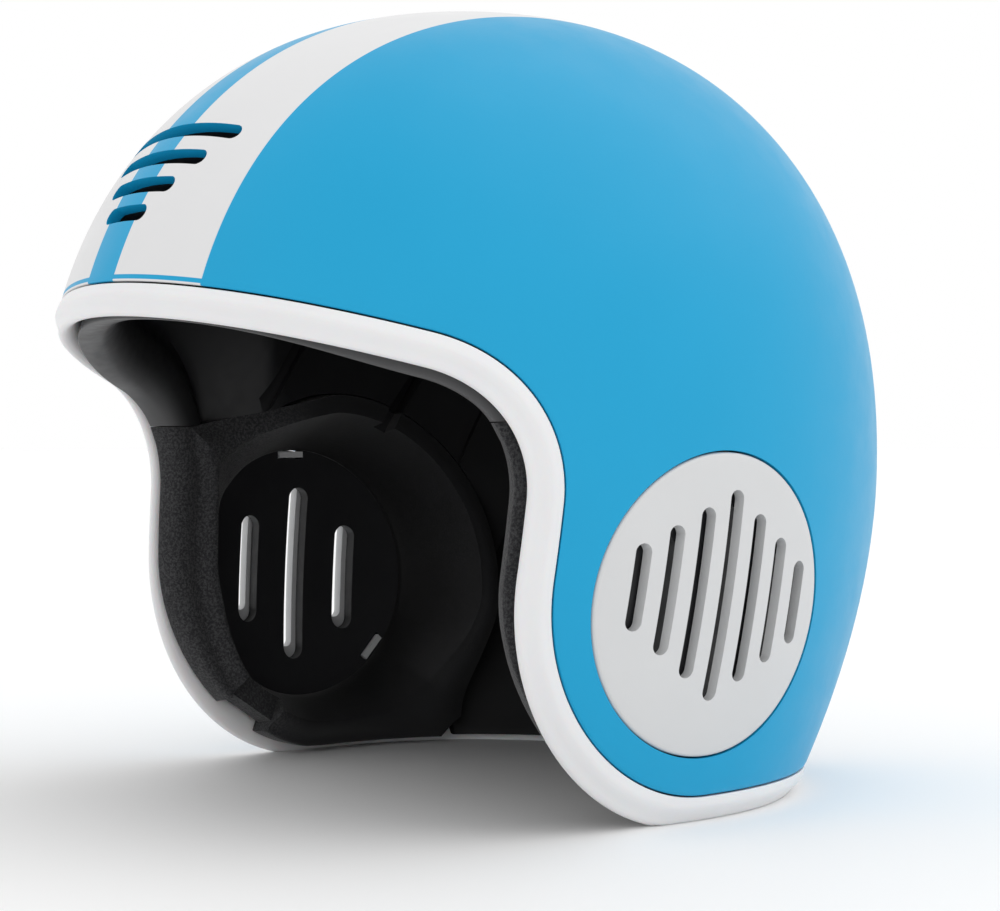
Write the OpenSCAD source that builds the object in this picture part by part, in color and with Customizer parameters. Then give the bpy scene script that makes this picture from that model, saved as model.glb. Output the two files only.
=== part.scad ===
// Open-face helmet for children: a round hard shell with a white edge trim, thick ear pads,
// slotted clip-on ear covers, and a dial at the nape that draws the head cradle forwards.
// The wearer looks along -Y, +X is to the right of somebody who faces the helmet, and the
// flat underside of the edge trim stands on z = 0.

/* [Shell] */
// Half of the outer width
half_w = 97; // [90:0.5:106]
// Section centre to the front of the full egg shape
front_l = 127; // [118:0.5:138]
// Section centre to the back
rear_l = 115; // [106:0.5:126]
// Crown above the floor
height = 210; // [198:0.5:224]
// Thickness of the hard shell
shell_t = 3; // [2:0.1:3.6]

/* [Face opening] */
// Height of the shell edge at the middle of the brow
brow_z = 132; // [126:0.5:140]
// Temple corner of the opening in side view, before rounding, along Y
temple_y = -46; // [-52:0.5:-40]
// The same corner's height
temple_z = 110; // [106:0.5:116]
// Rounding at the temple
temple_r = 38; // [30:0.5:42]
// Cheek corner of the opening in side view, before rounding, along Y
cheek_y = -56; // [-60:0.5:-52]
// Rounding at the cheek
cheek_r = 50; // [44:0.5:54]

/* [Edge trim] */
// Height of the shell edge above the floor
edge_z = 6.7; // [6:0.1:8]
// Width of the trim beyond the shell edge
trim_w = 8.7; // [7:0.1:10]
// Depth of the trim from the outer skin inwards
trim_d = 10; // [8:0.1:12]
// Gap that shows as a dark line between the shell and what meets its edges
line_gap = 0.4; // [0.3:0.05:0.6]

/* [Liner] */
// Half of the space for the head, ear to ear
head_half_w = 65; // [62:0.5:68]
// Section centre to the front of the head space
head_front = 103; // [98:0.5:106]
// Section centre to the back of the head space
head_rear = 91; // [86:0.5:94]
// Ceiling of the head space
head_top = 184; // [178:0.5:187]
// Thickness of the liner at the nape, where the cradle hangs
nape_t = 6.5; // [6:0.5:8]
// Clearance between the shell and the liner parts
liner_gap = 0.3; // [0.2:0.05:0.5]

/* [Ears] */
// Ear centre along Y
ear_y = -4; // [-7:0.5:0]
// Ear centre above the floor
ear_z = 54; // [50:0.5:58]
// Radius of the ear cover
cover_r = 37.2; // [34:0.1:39]
// Thickness of the ear cover
cover_t = 3; // [2.2:0.1:3.4]
// Distance from one cover slot to the next
slot_pitch = 8.9; // [8.4:0.1:9.4]
// Width of a cover slot
slot_w = 4.5; // [3.5:0.1:5]
// Length of the middle cover slot between its end centres
slot_long = 47; // [40:0.5:52]
// How much shorter each next slot is
slot_step = 10.2; // [8:0.2:12]
// Lean of the slots
slot_lean = 6.4; // [0:0.2:12]
// Radius of the inner plate that shows in the pad
plate_r = 35; // [32:0.5:36]
// Thickness of the inner plate
plate_t = 3.8; // [3:0.1:4.5]
// Width of an inner plate slot
plate_slot_w = 7; // [6:0.1:8]
// Radius of the soft lip round the ear
dish_r = 50; // [47:0.5:50]
// Radius of the ear pad's seam
pad_r = 54; // [53.5:0.5:56]

/* [Fit system] */
// Height of the dial's axis
dial_z = 50; // [48:0.5:51]
// Radius of the dial
dial_r = 12; // [10:0.5:12.5]
// Back face of the cradle housing
cradle_y = 84.5; // [83.5:0.1:85]
// How far the cradle comes forwards
cradle_travel = 9.8; // [8:0.1:10.5]
// Half of the distance between the two arms
arm_x = 40; // [39:0.5:41]
// Module of the pinion's and the racks' teeth
tooth_m = 1; // [0.9:0.05:1]

/* [Brow vents] */
// Number of vents
vents = 4; // [2:1:4]
// Height of a vent across the skin
vent_w = 4.6; // [3.5:0.1:5.5]
// Half length of the top vent
vent_half = 24.3; // [20:0.1:28]
// How much shorter the next vent is at each end
vent_step = 5.1; // [4:0.1:6]
// Height of the top vent's middle
vent_top_z = 170.4; // [166:0.1:174]
// Drop from one vent to the next
vent_drop = 7.1; // [6.8:0.1:7.6]

/* [Hidden] */

// Form of the egg: exponents and tapers of its sections
side_z = 91;
front_z = 87;
rear_z = 89;
side_e = 2.27;
front_e = 2.21;
rear_e = 2.17;
side_in = 0.121;
front_in = 0.05;
rear_in = 0.30;
side_p = 2.13;
front_p = 2;
rear_p = 1.85;
front_n = 1.94;
rear_n = 2.15;
mid_y = 3.6;

outer = [half_w, front_l, rear_l, height];
function inset(d) = [half_w - d, front_l - d, rear_l - d, height - d];
cavity = [head_half_w, head_front, head_rear, head_top];

// Share of the full radius at a height: a dome above the widest level, a taper below it
function share(z, wide_z, top, e, taper, p) = z >= wide_z
    ? pow(max(0, 1 - pow(min(1, (z - wide_z) / (top - wide_z)), e)), 1 / e)
    : 1 - taper * pow((wide_z - z) / wide_z, p);
function side_at(z, s) = s[0] * share(z, side_z, s[3], side_e, side_in, side_p);
function front_at(z, s) = s[1] * share(z, front_z, s[3], front_e, front_in, front_p);
function rear_at(z, s) = s[2] * share(z, rear_z, s[3], rear_e, rear_in, rear_p);

// Point of the egg at a turn about Z and a height
function skin(turn, z, s) = let (
    c = cos(turn), v = sin(turn), n = v < 0 ? front_n : rear_n,
    y_l = v < 0 ? front_at(z, s) : rear_at(z, s))
    [sign(c) * side_at(z, s) * pow(abs(c), 2 / n), sign(v) * y_l * pow(abs(v), 2 / n), z];
// Width of the egg beside a point of the side view
function skin_x(y, z, s) = let (
    n = y < 0 ? front_n : rear_n, y_l = y < 0 ? front_at(z, s) : rear_at(z, s))
    side_at(z, s) * pow(max(0, 1 - pow(min(1, abs(y) / y_l), n)), 1 / n);
function turn_at(y, z, s) = let (
    n = y < 0 ? front_n : rear_n, y_l = y < 0 ? front_at(z, s) : rear_at(z, s),
    v = pow(min(1, abs(y) / y_l), n / 2))
    sign(y) * asin(min(1, v));
// Outward direction of the skin
function level(p) = let (
    n = p.y < 0 ? front_n : rear_n, y_l = p.y < 0 ? front_at(p.z, outer) : rear_at(p.z, outer))
    pow(abs(p.x) / side_at(p.z, outer), n) + pow(abs(p.y) / y_l, n);
function unit(v) = v / norm(v);
function outward(p, h = 0.2) = unit([
    level(p + [h, 0, 0]) - level(p - [h, 0, 0]),
    level(p + [0, h, 0]) - level(p - [0, h, 0]),
    level(p + [0, 0, h]) - level(p - [0, 0, h])]);

// The edge of the shell in side view: brow line, temple, cheek and the level bottom
brow_steps = 9;
arc_steps = 8;
post_steps = 2;
heel_steps = 10;
brow_pt = [-front_at(brow_z, outer), brow_z];
temple_pt = [temple_y, temple_z];
cheek_pt = [cheek_y, edge_z];
heel_pt = [rear_l, edge_z];
function arc_mid(a, b, c, r) = let (u = unit(a - b), w = unit(c - b), half = acos(u * w) / 2)
    b + unit(u + w) * r / sin(half);
function arc_in(a, b, c, r) = let (u = unit(a - b), w = unit(c - b), half = acos(u * w) / 2)
    b + u * r / tan(half);
function wrap(d) = d > 180 ? d - 360 : d < -180 ? d + 360 : d;
function fillet(a, b, c, r, steps) = let (
    m = arc_mid(a, b, c, r), p = arc_in(a, b, c, r), q = arc_in(c, b, a, r),
    from = atan2(p.y - m.y, p.x - m.x), span = wrap(atan2(q.y - m.y, q.x - m.x) - from))
    [for (i = [0 : steps]) m + r * [cos(from + span * i / steps), sin(from + span * i / steps)]];
temple_arc = fillet(brow_pt, temple_pt, cheek_pt, temple_r, arc_steps);
cheek_arc = fillet(temple_pt, cheek_pt, heel_pt, cheek_r, arc_steps);
brow_end = turn_at(temple_arc[0].x, temple_arc[0].y, outer);
heel_start = turn_at(cheek_arc[arc_steps].x, edge_z, outer);
function brow_height(turn, z, tries) = tries == 0 ? z : brow_height(turn,
    brow_z + (skin(turn, z, outer).y - brow_pt.x) * (temple_arc[0].y - brow_z)
    / (temple_arc[0].x - brow_pt.x), tries - 1);

// Half of the edge as turn and height pairs, from the brow round one side to the nape
half_edge = concat(
    [for (i = [0 : brow_steps - 1]) let (turn = -90 + (brow_end + 90) * i / brow_steps)
        [turn, brow_height(turn, brow_z, 4)]],
    [for (p = temple_arc) [turn_at(p.x, p.y, outer), p.y]],
    [for (i = [1 : post_steps - 1])
        let (p = temple_arc[arc_steps] + (cheek_arc[0] - temple_arc[arc_steps]) * i / post_steps)
        [turn_at(p.x, p.y, outer), p.y]],
    [for (p = cheek_arc) [turn_at(p.x, p.y, outer), p.y]],
    [for (i = [1 : heel_steps]) [heel_start + (90 - heel_start) * i / heel_steps, edge_z]]);
half_n = len(half_edge) - 1;
// The whole loop, with the other side mirrored; the last entry is the side, 1 or -1
edge = concat(
    [for (i = [0 : half_n]) [half_edge[i].x, half_edge[i].y, 1, i]],
    [for (i = [half_n - 1 : -1 : 1]) [half_edge[i].x, half_edge[i].y, -1, i]]);
loop_n = len(edge);
rows = 11;

function at_side(p, side) = [side * p.x, p.y, p.z];
// Turn and height on the line from an edge point up to the crown
function climb(e, t, top) = let (crown_turn = -90 + 180 * e[3] / half_n)
    [e.x + (crown_turn - e.x) * t, e.y + (top - e.y) * sin(90 * t)];
function layer_pt(e, t, s) = let (c = climb(e, t, s[3])) at_side(skin(c.x, c.y, s), e[2]);
function layer(s, t) = [for (e = edge) layer_pt(e, t, s)];
function ease(t) = let (u = max(0, min(1, t))) u * u * (3 - 2 * u);
function mix(a, b, t) = a + (b - a) * t;

// A closed skin between two stacks of loops, each stack ending at its own crown point
module loft(outer_rows, outer_top, inner_rows, inner_top) {
    n = len(outer_rows[0]);
    m = len(outer_rows);
    in0 = n * m + 1;
    pts = concat([for (r = outer_rows) each r], [outer_top], [for (r = inner_rows) each r], [inner_top]);
    faces = concat(
        [for (k = [0 : m - 2], i = [0 : n - 1]) let (j = (i + 1) % n)
            each [[k * n + i, (k + 1) * n + i, k * n + j], [k * n + j, (k + 1) * n + i, (k + 1) * n + j]]],
        [for (i = [0 : n - 1]) [(m - 1) * n + i, n * m, (m - 1) * n + (i + 1) % n]],
        [for (k = [0 : m - 2], i = [0 : n - 1]) let (j = (i + 1) % n)
            each [[in0 + k * n + i, in0 + k * n + j, in0 + (k + 1) * n + i],
                [in0 + k * n + j, in0 + (k + 1) * n + j, in0 + (k + 1) * n + i]]],
        [for (i = [0 : n - 1]) [in0 + (m - 1) * n + i, in0 + (m - 1) * n + (i + 1) % n, in0 + n * m]],
        [for (i = [0 : n - 1]) let (j = (i + 1) % n)
            each [[i, j, in0 + i], [j, in0 + j, in0 + i]]]);
    polyhedron(pts, faces, convexity = 6);
}

// A closed skin through a ring of loops: each loop is joined to the next, and the last to the first
module ring_loft(loops) {
    n = len(loops[0]);
    m = len(loops);
    polyhedron([for (l = loops) each l], [for (k = [0 : m - 1], i = [0 : n - 1])
        let (j = (i + 1) % n, h = (k + 1) % m)
        each [[k * n + i, k * n + j, h * n + i], [k * n + j, h * n + j, h * n + i]]], convexity = 6);
}
// A closed slab between two grids of points, row by row
module slab(front, back) {
    w = len(front[0]);
    m = len(front);
    b = w * m;
    rim = concat([for (u = [0 : w - 2]) u], [for (v = [0 : m - 2]) v * w + w - 1],
        [for (u = [w - 1 : -1 : 1]) (m - 1) * w + u], [for (v = [m - 1 : -1 : 1]) v * w]);
    polyhedron([for (g = [front, back], r = g) each r], concat(
        [for (v = [0 : m - 2], u = [0 : w - 2]) let (a = v * w + u)
            each [[a, a + 1, a + w], [a + 1, a + w + 1, a + w]]],
        [for (v = [0 : m - 2], u = [0 : w - 2]) let (a = b + v * w + u)
            each [[a, a + w, a + 1], [a + 1, a + w, a + w + 1]]],
        [for (i = [0 : len(rim) - 1]) let (a = rim[i], c = rim[(i + 1) % len(rim)])
            each [[a, b + a, c], [c, b + a, b + c]]]), convexity = 4);
}

module set_down() translate([0, mid_y, 0]) children();

module egg_layer(s_out, s_in) {
    loft([for (k = [0 : rows - 1]) layer(s_out, k / rows)], [0, 0, s_out[3]],
        [for (k = [0 : rows - 1]) layer(s_in, k / rows)], [0, 0, s_in[3]]);
}

// Cuts for the vents, square to the skin
module vent_cuts(depth) {
    for (i = [0 : vents - 1]) {
        z = vent_top_z - vent_drop * i;
        half = vent_half - vent_step * i - vent_w / 2;
        p = [0, -front_at(z, outer), z];
        d = outward(p);
        translate(p + d * 6) rotate([atan2(d.y, -d.z), 0, 0])
            linear_extrude(depth + 6) {
                for (x = [-half, half]) translate([x, 0]) circle(d = vent_w, $fn = 32);
                translate([-half, -vent_w / 2]) square([2 * half, vent_w]);
            }
    }
}
module ear_axis() translate([0, ear_y, ear_z]) rotate([0, 90, 0]) children();

module outer_shell() {
    color("deepskyblue") set_down() difference() {
        egg_layer(outer, inset(shell_t));
        ear_axis() cylinder(r = cover_r + line_gap, h = 3 * half_w, center = true, $fn = 96);
        vent_cuts(20);
    }
}

// Section of the trim: distance past the shell edge, and depth below the skin
trim_section = [
    [line_gap, 0], [trim_w * 0.42, 0.5], [trim_w * 0.72, -0.9], [trim_w * 0.93, -trim_d * 0.27],
    [trim_w, -trim_d * 0.5], [trim_w * 0.9, -trim_d * 0.74], [trim_w * 0.62, -trim_d * 0.93],
    [trim_w * 0.3, -trim_d], [line_gap, -trim_d * 0.96]];
// How far the round section is pressed flat where the trim stands
sole = 0.8;
module edge_trim() {
    k = len(trim_section);
    ring = [for (e = edge) layer_pt(e, 0, outer)];
    deeper = [for (e = edge) layer_pt(e, 0, inset(1))];
    sections = [for (i = [0 : loop_n - 1]) let (
            p = ring[i],
            along = unit(ring[(i + 1) % loop_n] - ring[(i + loop_n - 1) % loop_n]),
            inwards = unit(deeper[i] - p), off = unit(cross(along, outward(p))),
            fit = min(1, (p.z + sole) / max(0.1, -off.z * trim_w)))
        [for (q = trim_section) let (v = p + off * q.x * fit - inwards * q.y) [v.x, v.y, max(0, v.z)]]];
    color("white") set_down() ring_loft([for (i = [loop_n - 1 : -1 : 0]) sections[i]]);
}

// Liner: the foam runs from thin at the opening's edge to its full depth further in
flare = 0.3;
edge_in = 9.6;
liner_in = shell_t + liner_gap;
function liner_pt(e, t) = mix(layer_pt(e, t, inset(edge_in)), layer_pt(e, t, cavity), ease(t / flare));
module liner_block() {
    loft([for (k = [0 : rows - 1]) layer(inset(liner_in), k / rows)], [0, 0, height - liner_in],
        [for (k = [0 : rows - 1]) [for (e = edge) liner_pt(e, k / rows)]], [0, 0, head_top]);
}
// Draws a side-view outline through the part, from one X to another
module across(from_x, to_x) translate([from_x, 0, 0]) rotate([90, 0, 90]) linear_extrude(to_x - from_x)
    children();
module on_side(side) mirror([side < 0 ? 1 : 0, 0, 0]) children();

// Seams between the liner parts, in side view: the ear pad's rear seam goes from the floor up
// to the circle round the ear, and its front seam from that circle to the edge of the opening
seam_front_z = 98;
seam_front_y = -49;
rear_seam = [[42, -10], [42, edge_z], [43.4, 14], [45.6, 22], [47.5, 31], [49.3, 42], [50, ear_z]];
nape_top = [[57, 69], [60, 78]];
far_y = 150;
module pad_outline(grow = 0) {
    translate([ear_y, ear_z]) circle(r = pad_r + grow, $fn = 96);
    polygon(concat([for (q = rear_seam) q + [grow, 0]],
        [[ear_y, ear_z + pad_r + grow], [seam_front_y, seam_front_z + grow],
        [-far_y, seam_front_z + grow], [-far_y, -10]]));
}
module nape_outline(grow = 0) polygon(concat(
    [for (i = [0 : 4]) rear_seam[i] + [liner_gap + 0.1 - grow, 0]],
    [for (q = nape_top) q + [-grow, grow]], [[far_y, nape_top[1].y + grow], [far_y, -10]]));

// Air channels on the inner wall: lower end, upper end, width and depth, in side view
channels = [[[-27, 110], [-12, 135], 4.5, 3], [[10, 87], [40, 122], 4.5, 3], [[43, 74], [58, 109], 1, 1.5]];
module channel_cuts(list) for (c = list) let (
    mid = (c[0] + c[1]) / 2, run = c[1] - c[0],
    wall = skin_x(mid.x, mid.y, cavity) + c[3])
    across(wall - 25, wall) translate(c[0]) rotate(atan2(run.y, run.x)) {
        translate([0, -c[2] / 2]) square([norm(run), c[2]]);
        circle(d = c[2], $fn = 24);
    }

module crown_liner() {
    color("dimgray") set_down() difference() {
        liner_block();
        vent_cuts(60);
        for (side = [1, -1]) on_side(side) {
            across(0, 2 * half_w) pad_outline(liner_gap);
            channel_cuts(channels);
        }
        across(-2 * half_w, 2 * half_w) nape_outline(liner_gap);
    }
}

// Depth of the outer faces of the nape foam and the ear pieces below the skin
ear_in = shell_t + 0.9;
// Thin foam behind the nape, with a pocket that leaves room for the dial and fingers
pocket_half = 31;
pocket_top = 66;
pocket_floor = 2;
nape_shares = [0.06, 0.12, 0.18, 0.25];
nape_first = half_n - heel_steps - 1;
nape_edge = [for (i = [nape_first : 2 * half_n - nape_first]) edge[i]];
// Foam between two depths, from a share of the climb at its lower rim
module nape_sheet(deep, shallow, low) {
    shares = concat([low], nape_shares);
    slab([for (t = shares) [for (e = nape_edge) layer_pt(e, t, inset(deep))]],
        [for (t = shares) [for (e = nape_edge) layer_pt(e, t, inset(shallow))]]);
}
module nape_liner() {
    color("dimgray") set_down() difference() {
        nape_sheet(liner_in + nape_t, ear_in, 0);
        across(-2 * half_w, 2 * half_w) difference() {
            translate([-far_y, -20]) square([2 * far_y, 2 * height]);
            nape_outline();
        }
        // The pocket's floor is a thin layer of foam along the shell
        difference() {
            translate([-pocket_half, 0, -1]) cube([2 * pocket_half, 2 * rear_l, pocket_top + 1]);
            nape_sheet(ear_in + pocket_floor, ear_in - 1, -0.02);
        }
        for (side = [1, -1]) on_side(side) {
            anchor_at(anchor_rear) anchor_space();
            pin_axis() cylinder(r = pin_r + pin_gap, h = 30, center = true, $fn = 32);
        }
    }
}

// Round pieces at the ear: rings of points on the skin, seen as circles from the side
ring_n = 48;
function ear_ring(r, depth) = [for (i = [0 : ring_n - 1]) let (
    y = ear_y + r * cos(360 * i / ring_n), z = ear_z + r * sin(360 * i / ring_n))
    [skin_x(y, z, inset(depth)), y, z]];
module ear_disc(rings, depths, back) {
    loft([for (i = [0 : len(rings) - 1]) ear_ring(rings[i], depths[i])],
        [skin_x(ear_y, ear_z, inset(depths[len(depths) - 1])), ear_y, ear_z],
        [for (r = rings) ear_ring(r, back)], [skin_x(ear_y, ear_z, inset(back)), ear_y, ear_z]);
}
// A row of slots like the bars of a sound picture, longest in the middle
module slot_row(indices, w, extra, mid) {
    across(half_w * 0.6, half_w * 1.2) translate(mid) rotate(-slot_lean) for (i = indices) {
        half = (slot_long + extra - slot_step * abs(i)) / 2;
        translate([i * slot_pitch, 0]) {
            for (v = [-half, half]) translate([0, v]) circle(d = w, $fn = 32);
            translate([-w / 2, -half]) square([w, 2 * half]);
        }
    }
}
slot_mid = [ear_y + 1, ear_z + 2.4];
plate_mid = [ear_y + 0.5, ear_z - 0.4];
// Three clips on the cover reach through notches in the plate's rim and hold it
clip_turns = [90, -30, 210];
clip_w = 8.6;
clip_t = 1.8;
clip_r = plate_r + 0.9;
clip_reach = ear_in + plate_t + 0.7;
clip_gap = 0.35;
module clip_bars(w, t, from_depth, to_depth) for (a = clip_turns) {
    y = ear_y + clip_r * cos(a);
    z = ear_z + clip_r * sin(a);
    translate([skin_x(y, z, inset(to_depth)), y, z]) rotate([a, 0, 0])
        translate([0, -t / 2, -w / 2]) cube([to_depth - from_depth, t, w]);
}
module ear_cover(side) {
    color("whitesmoke") set_down() on_side(side) {
        difference() {
            ear_disc([cover_r, cover_r - 0.8, cover_r * 0.68, cover_r * 0.36], [0.6, -0.1, -0.1, -0.1], cover_t);
            slot_row([-3 : 3], slot_w, 0, slot_mid);
        }
        clip_bars(clip_w, clip_t, 1.5, clip_reach);
    }
}
flange_r = cover_r + 1.4;
module ear_plate(side) {
    color("black") set_down() on_side(side) difference() {
        ear_disc([flange_r, plate_r * 0.99, plate_r * 0.68, plate_r * 0.34],
            [ear_in, ear_in, ear_in, ear_in], ear_in + plate_t);
        slot_row([-2, 0, 2], plate_slot_w, 6, plate_mid);
        clip_bars(clip_w + 2 * clip_gap, clip_t + 2 * clip_gap, 0, clip_reach + 4);
    }
}

// The ear pad: loops from the hole at the plate out to the seams and the edge of the opening.
// Its outer face lies in the shell, and its inner face is dished round the ear.
hole_r = plate_r + 2.4;
ear_gap = 0.5;
under_plate = ear_in + plate_t + ear_gap;
flange_room = flange_r + ear_gap;
lip_in = 20;
blend_l = 40;
post_turns = [for (i = [brow_steps + 2 : brow_steps + arc_steps + 3]) [half_edge[i].y, half_edge[i].x]];
pad_edge = concat([[lookup(seam_front_z, post_turns), seam_front_z, 1, 0]],
    [for (i = [brow_steps : half_n]) let (e = edge[i], p = layer_pt(e, 0, outer))
        if (p.z < seam_front_z - 2 && p.y < rear_seam[1].x - 3) e]);
pad_seam = concat([for (i = [1 : 5]) rear_seam[i]],
    [for (a = [0 : 11.25 : 101]) [ear_y + pad_r * cos(a), ear_z + pad_r * sin(a)]],
    [for (y = [-22, -31, -40]) [y, mix(seam_front_z, ear_z + pad_r, (y - seam_front_y) / 45)]]);
// How far a point of the side view is inside the flare along the opening, from 0 to 1
function inside(q) = ease(min(q.y - edge_z, q.x - seam_front_y) / blend_l);
// Each rim point holds its outer end, its inner end and its share of the way inside
pad_rim = concat(
    [for (e = pad_edge) [layer_pt(e, 0, inset(ear_in)), layer_pt(e, 0, inset(edge_in)), 0]],
    [for (q = pad_seam) [[skin_x(q.x, q.y, inset(ear_in)), q.x, q.y],
        [skin_x(q.x, q.y, mix(inset(edge_in), cavity, inside(q))), q.x, q.y], inside(q)]]);
function around_ear(r, p) = let (v = unit([p.y - ear_y, p.z - ear_z])) [ear_y, ear_z] + r * v;
function on_depth(q, depth) = [skin_x(q.x, q.y, inset(depth)), q.x, q.y];
// Point of the inner face: a dish up to a soft lip, and from the lip down to the rim
function soft_min(a, b) = pow(pow(a, -20) + pow(b, -20), -1 / 20);
function pad_face(rim, from_hole) = let (
    w = rim[2], end = [rim[1].y, rim[1].z], far = norm(end - [ear_y, ear_z]),
    lip_r = soft_min(far - mix(6, 3.5, w), dish_r),
    q = around_ear(from_hole < 1 ? mix(hole_r, lip_r, from_hole) : mix(lip_r, far, from_hole - 1), rim[1]),
    start_x = on_depth(q, under_plate + 1).x, lip_x = skin_x(q.x, q.y, mix(inset(lip_in), cavity, w)) - w,
    x = from_hole < 1 ? mix(start_x, lip_x, pow(from_hole, mix(0.55, 1.2, w)))
        : mix(lip_x, rim[1].x, ease(from_hole - 1)))
    [x, q.x, q.y];
module ear_pad(side) {
    back_rings = [for (c = [[hole_r, under_plate], [flange_room, under_plate], [flange_room, ear_in]])
        [for (rim = pad_rim) on_depth(around_ear(c[0], rim[0]), c[1])]];
    back_mid = [for (rim = pad_rim) let (q = mix(around_ear(flange_room, rim[0]), [rim[0].y, rim[0].z], 0.5))
        on_depth(q, ear_in)];
    face_rings = [for (f = [1.75, 1.5, 1.25, 1, 0.85, 0.65, 0.45, 0.25, 0.1, 0])
        [for (rim = pad_rim) pad_face(rim, f)]];
    color("darkslategray") set_down() on_side(side) difference() {
        ring_loft(concat(back_rings, [back_mid], [for (end = [0, 1]) [for (rim = pad_rim) rim[end]]], face_rings));
        channel_cuts([channels[1]]);
        anchor_at(anchor_front) anchor_space();
    }
}

// Strap anchors: plates between foam and shell, each in a notch at the edge of the foam
anchor_l = 15;
anchor_w = 5.4;
anchor_t = 2;
anchor_in = shell_t + 1.6;
// Place in side view and turn about the skin's direction
anchor_front = [-27.4, 19.4, -34];
anchor_rear = [58, 14, 0];
stud_r = 1.2;
stud_out = 6;
strap_slot = [2.6, 8];
// A frame on the skin: its third axis points outwards and its first one down
module on_skin(y, z, depth, turn = 0) {
    d = outward([skin_x(y, z, outer), y, z]);
    translate([skin_x(y, z, inset(depth)), y, z]) rotate([0, acos(d.z), atan2(d.y, d.x)]) rotate(turn)
        children();
}
module anchor_at(a) on_skin(a.x, a.y, anchor_in, a.z) children();
module anchor_space() translate([-anchor_w / 2 - 0.8, -anchor_l / 2 - 0.8, -anchor_t - 2.4])
    cube([4 * anchor_w, anchor_l + 1.6, 20]);
module strap_anchor(side, a) {
    color("gray") set_down() on_side(side) anchor_at(a) difference() {
        translate([-anchor_w / 2, -anchor_l / 2, -anchor_t]) cube([anchor_w, anchor_l, anchor_t]);
        translate([-strap_slot.x / 2, -strap_slot.y / 2, -2 * anchor_t])
            cube([strap_slot.x, strap_slot.y, 3 * anchor_t]);
        for (v = [-stud_out, stud_out])
            translate([0, v, -2 * anchor_t]) cylinder(r = stud_r + 0.05, h = 3 * anchor_t, $fn = 32);
    }
}
module anchor_studs() color("silver") set_down() for (side = [1, -1], a = [anchor_front, anchor_rear])
    on_side(side) anchor_at(a) for (v = [-stud_out, stud_out]) translate([0, v, 0]) {
        translate([0, 0, -anchor_t - 0.9]) cylinder(r = stud_r + 0.7, h = 0.8, $fn = 32);
        translate([0, 0, -anchor_t - 0.2]) cylinder(r = stud_r, h = anchor_t + 0.6, $fn = 32);
    }

// Soft pads: a pillow over a patch of the head space, thin at its edge
function puff(u) = pow(max(0, 1 - pow(abs(2 * u - 1), 4)), 0.5);
pad_gap = 0.4;
crown_rows = [8, 9, 10];
crown_thick = 7;
module crown_pad() {
    lower = [for (i = [0 : 2]) inset_of(cavity, pad_gap + crown_thick * [0.3, 0.85, 1][i])];
    color("black") set_down() loft([for (k = crown_rows) layer(inset_of(cavity, pad_gap), k / rows)],
        [0, 0, head_top - pad_gap],
        [for (i = [0 : 2]) layer(lower[i], crown_rows[i] / rows)], [0, 0, lower[2][3]]);
}
function inset_of(s, d) = [s[0] - d, s[1] - d, s[2] - d, s[3] - d];
// The brow pads run between two steps of the edge and between two shares of the climb to the crown
brow_thick = 6;
brow_gap = 1;
brow_from = 3;
brow_to = 7;
brow_low = 0.08;
brow_high = 0.28;
module brow_pad(side) {
    place = function (e, t, d) let (p = liner_pt(e, t)) p + d * unit([-p.x, -p.y, 0]);
    grid = function (lift, thick) [for (v = [0 : 0.2 : 1.01]) [for (i = [brow_from : brow_to])
        place(edge[i], mix(brow_low, brow_high, v),
            lift + thick * puff((i - brow_from) / (brow_to - brow_from)) * puff(v))]];
    color("black") set_down() on_side(side) slab(grid(brow_gap + 1, brow_thick), grid(brow_gap, 0));
}

// Cradle: a housing across the nape with a sleeve at each end
arm_t = 2;
arm_h = 10;
slide_gap = 0.3;
sleeve_wall = 2;
cradle_half = arm_x - arm_t / 2 - slide_gap;
cradle_low = dial_z - 14;
cradle_high = dial_z + 14;
cradle_front = cradle_y - 6.5;
rack_room_z = 6.6;
rack_room_back = cradle_y - 2.9;
sleeve_l = 10;
sleeve_end = cradle_y - 4.5;
shaft_r = 2.5;
shaft_gap = 0.06;
module along_y(r, from_y, to_y, facets = 48) translate([0, from_y, 0]) rotate([-90, 0, 0])
    cylinder(r = r, h = to_y - from_y, $fn = facets);
module nape_cradle() {
    hole = [arm_t + 2 * slide_gap, arm_h + 2 * slide_gap];
    color("black") set_down() difference() {
        union() {
            translate([0, 0, cradle_low]) linear_extrude(cradle_high - cradle_low) polygon([
                [-cradle_half, cradle_front], [cradle_half, cradle_front], [cradle_half, cradle_y - 4],
                [cradle_half - 6.6, cradle_y], [6.6 - cradle_half, cradle_y], [-cradle_half, cradle_y - 4]]);
            for (side = [1, -1]) on_side(side)
                translate([arm_x - hole.x / 2 - sleeve_wall, sleeve_end - sleeve_l, dial_z - hole.y / 2 - sleeve_wall])
                    cube([hole.x + 2 * sleeve_wall, sleeve_l, hole.y + 2 * sleeve_wall]);
        }
        for (side = [1, -1]) on_side(side)
            translate([arm_x - hole.x / 2, sleeve_end - sleeve_l - 1, dial_z - hole.y / 2])
                cube([hole.x, sleeve_l + 2, hole.y]);
        translate([-cradle_half + 2, cradle_front - 1, dial_z - rack_room_z])
            cube([2 * cradle_half - 4, rack_room_back - cradle_front + 1, 2 * rack_room_z]);
        translate([0, 0, dial_z]) along_y(shaft_r + shaft_gap, cradle_front, cradle_y + 1);
        for (x = [-1, 1], z = [-1, 1]) translate([x * screw_x, 0, dial_z + z * screw_z])
            along_y(screw_r, cradle_front - 1, cradle_front + screw_l, 24);
    }
}
screw_x = 28;
screw_z = 10.5;
screw_r = 1;
screw_l = 4;
cover_thick = 1.3;
cover_half = cradle_half - sleeve_wall - 0.2;
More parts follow.
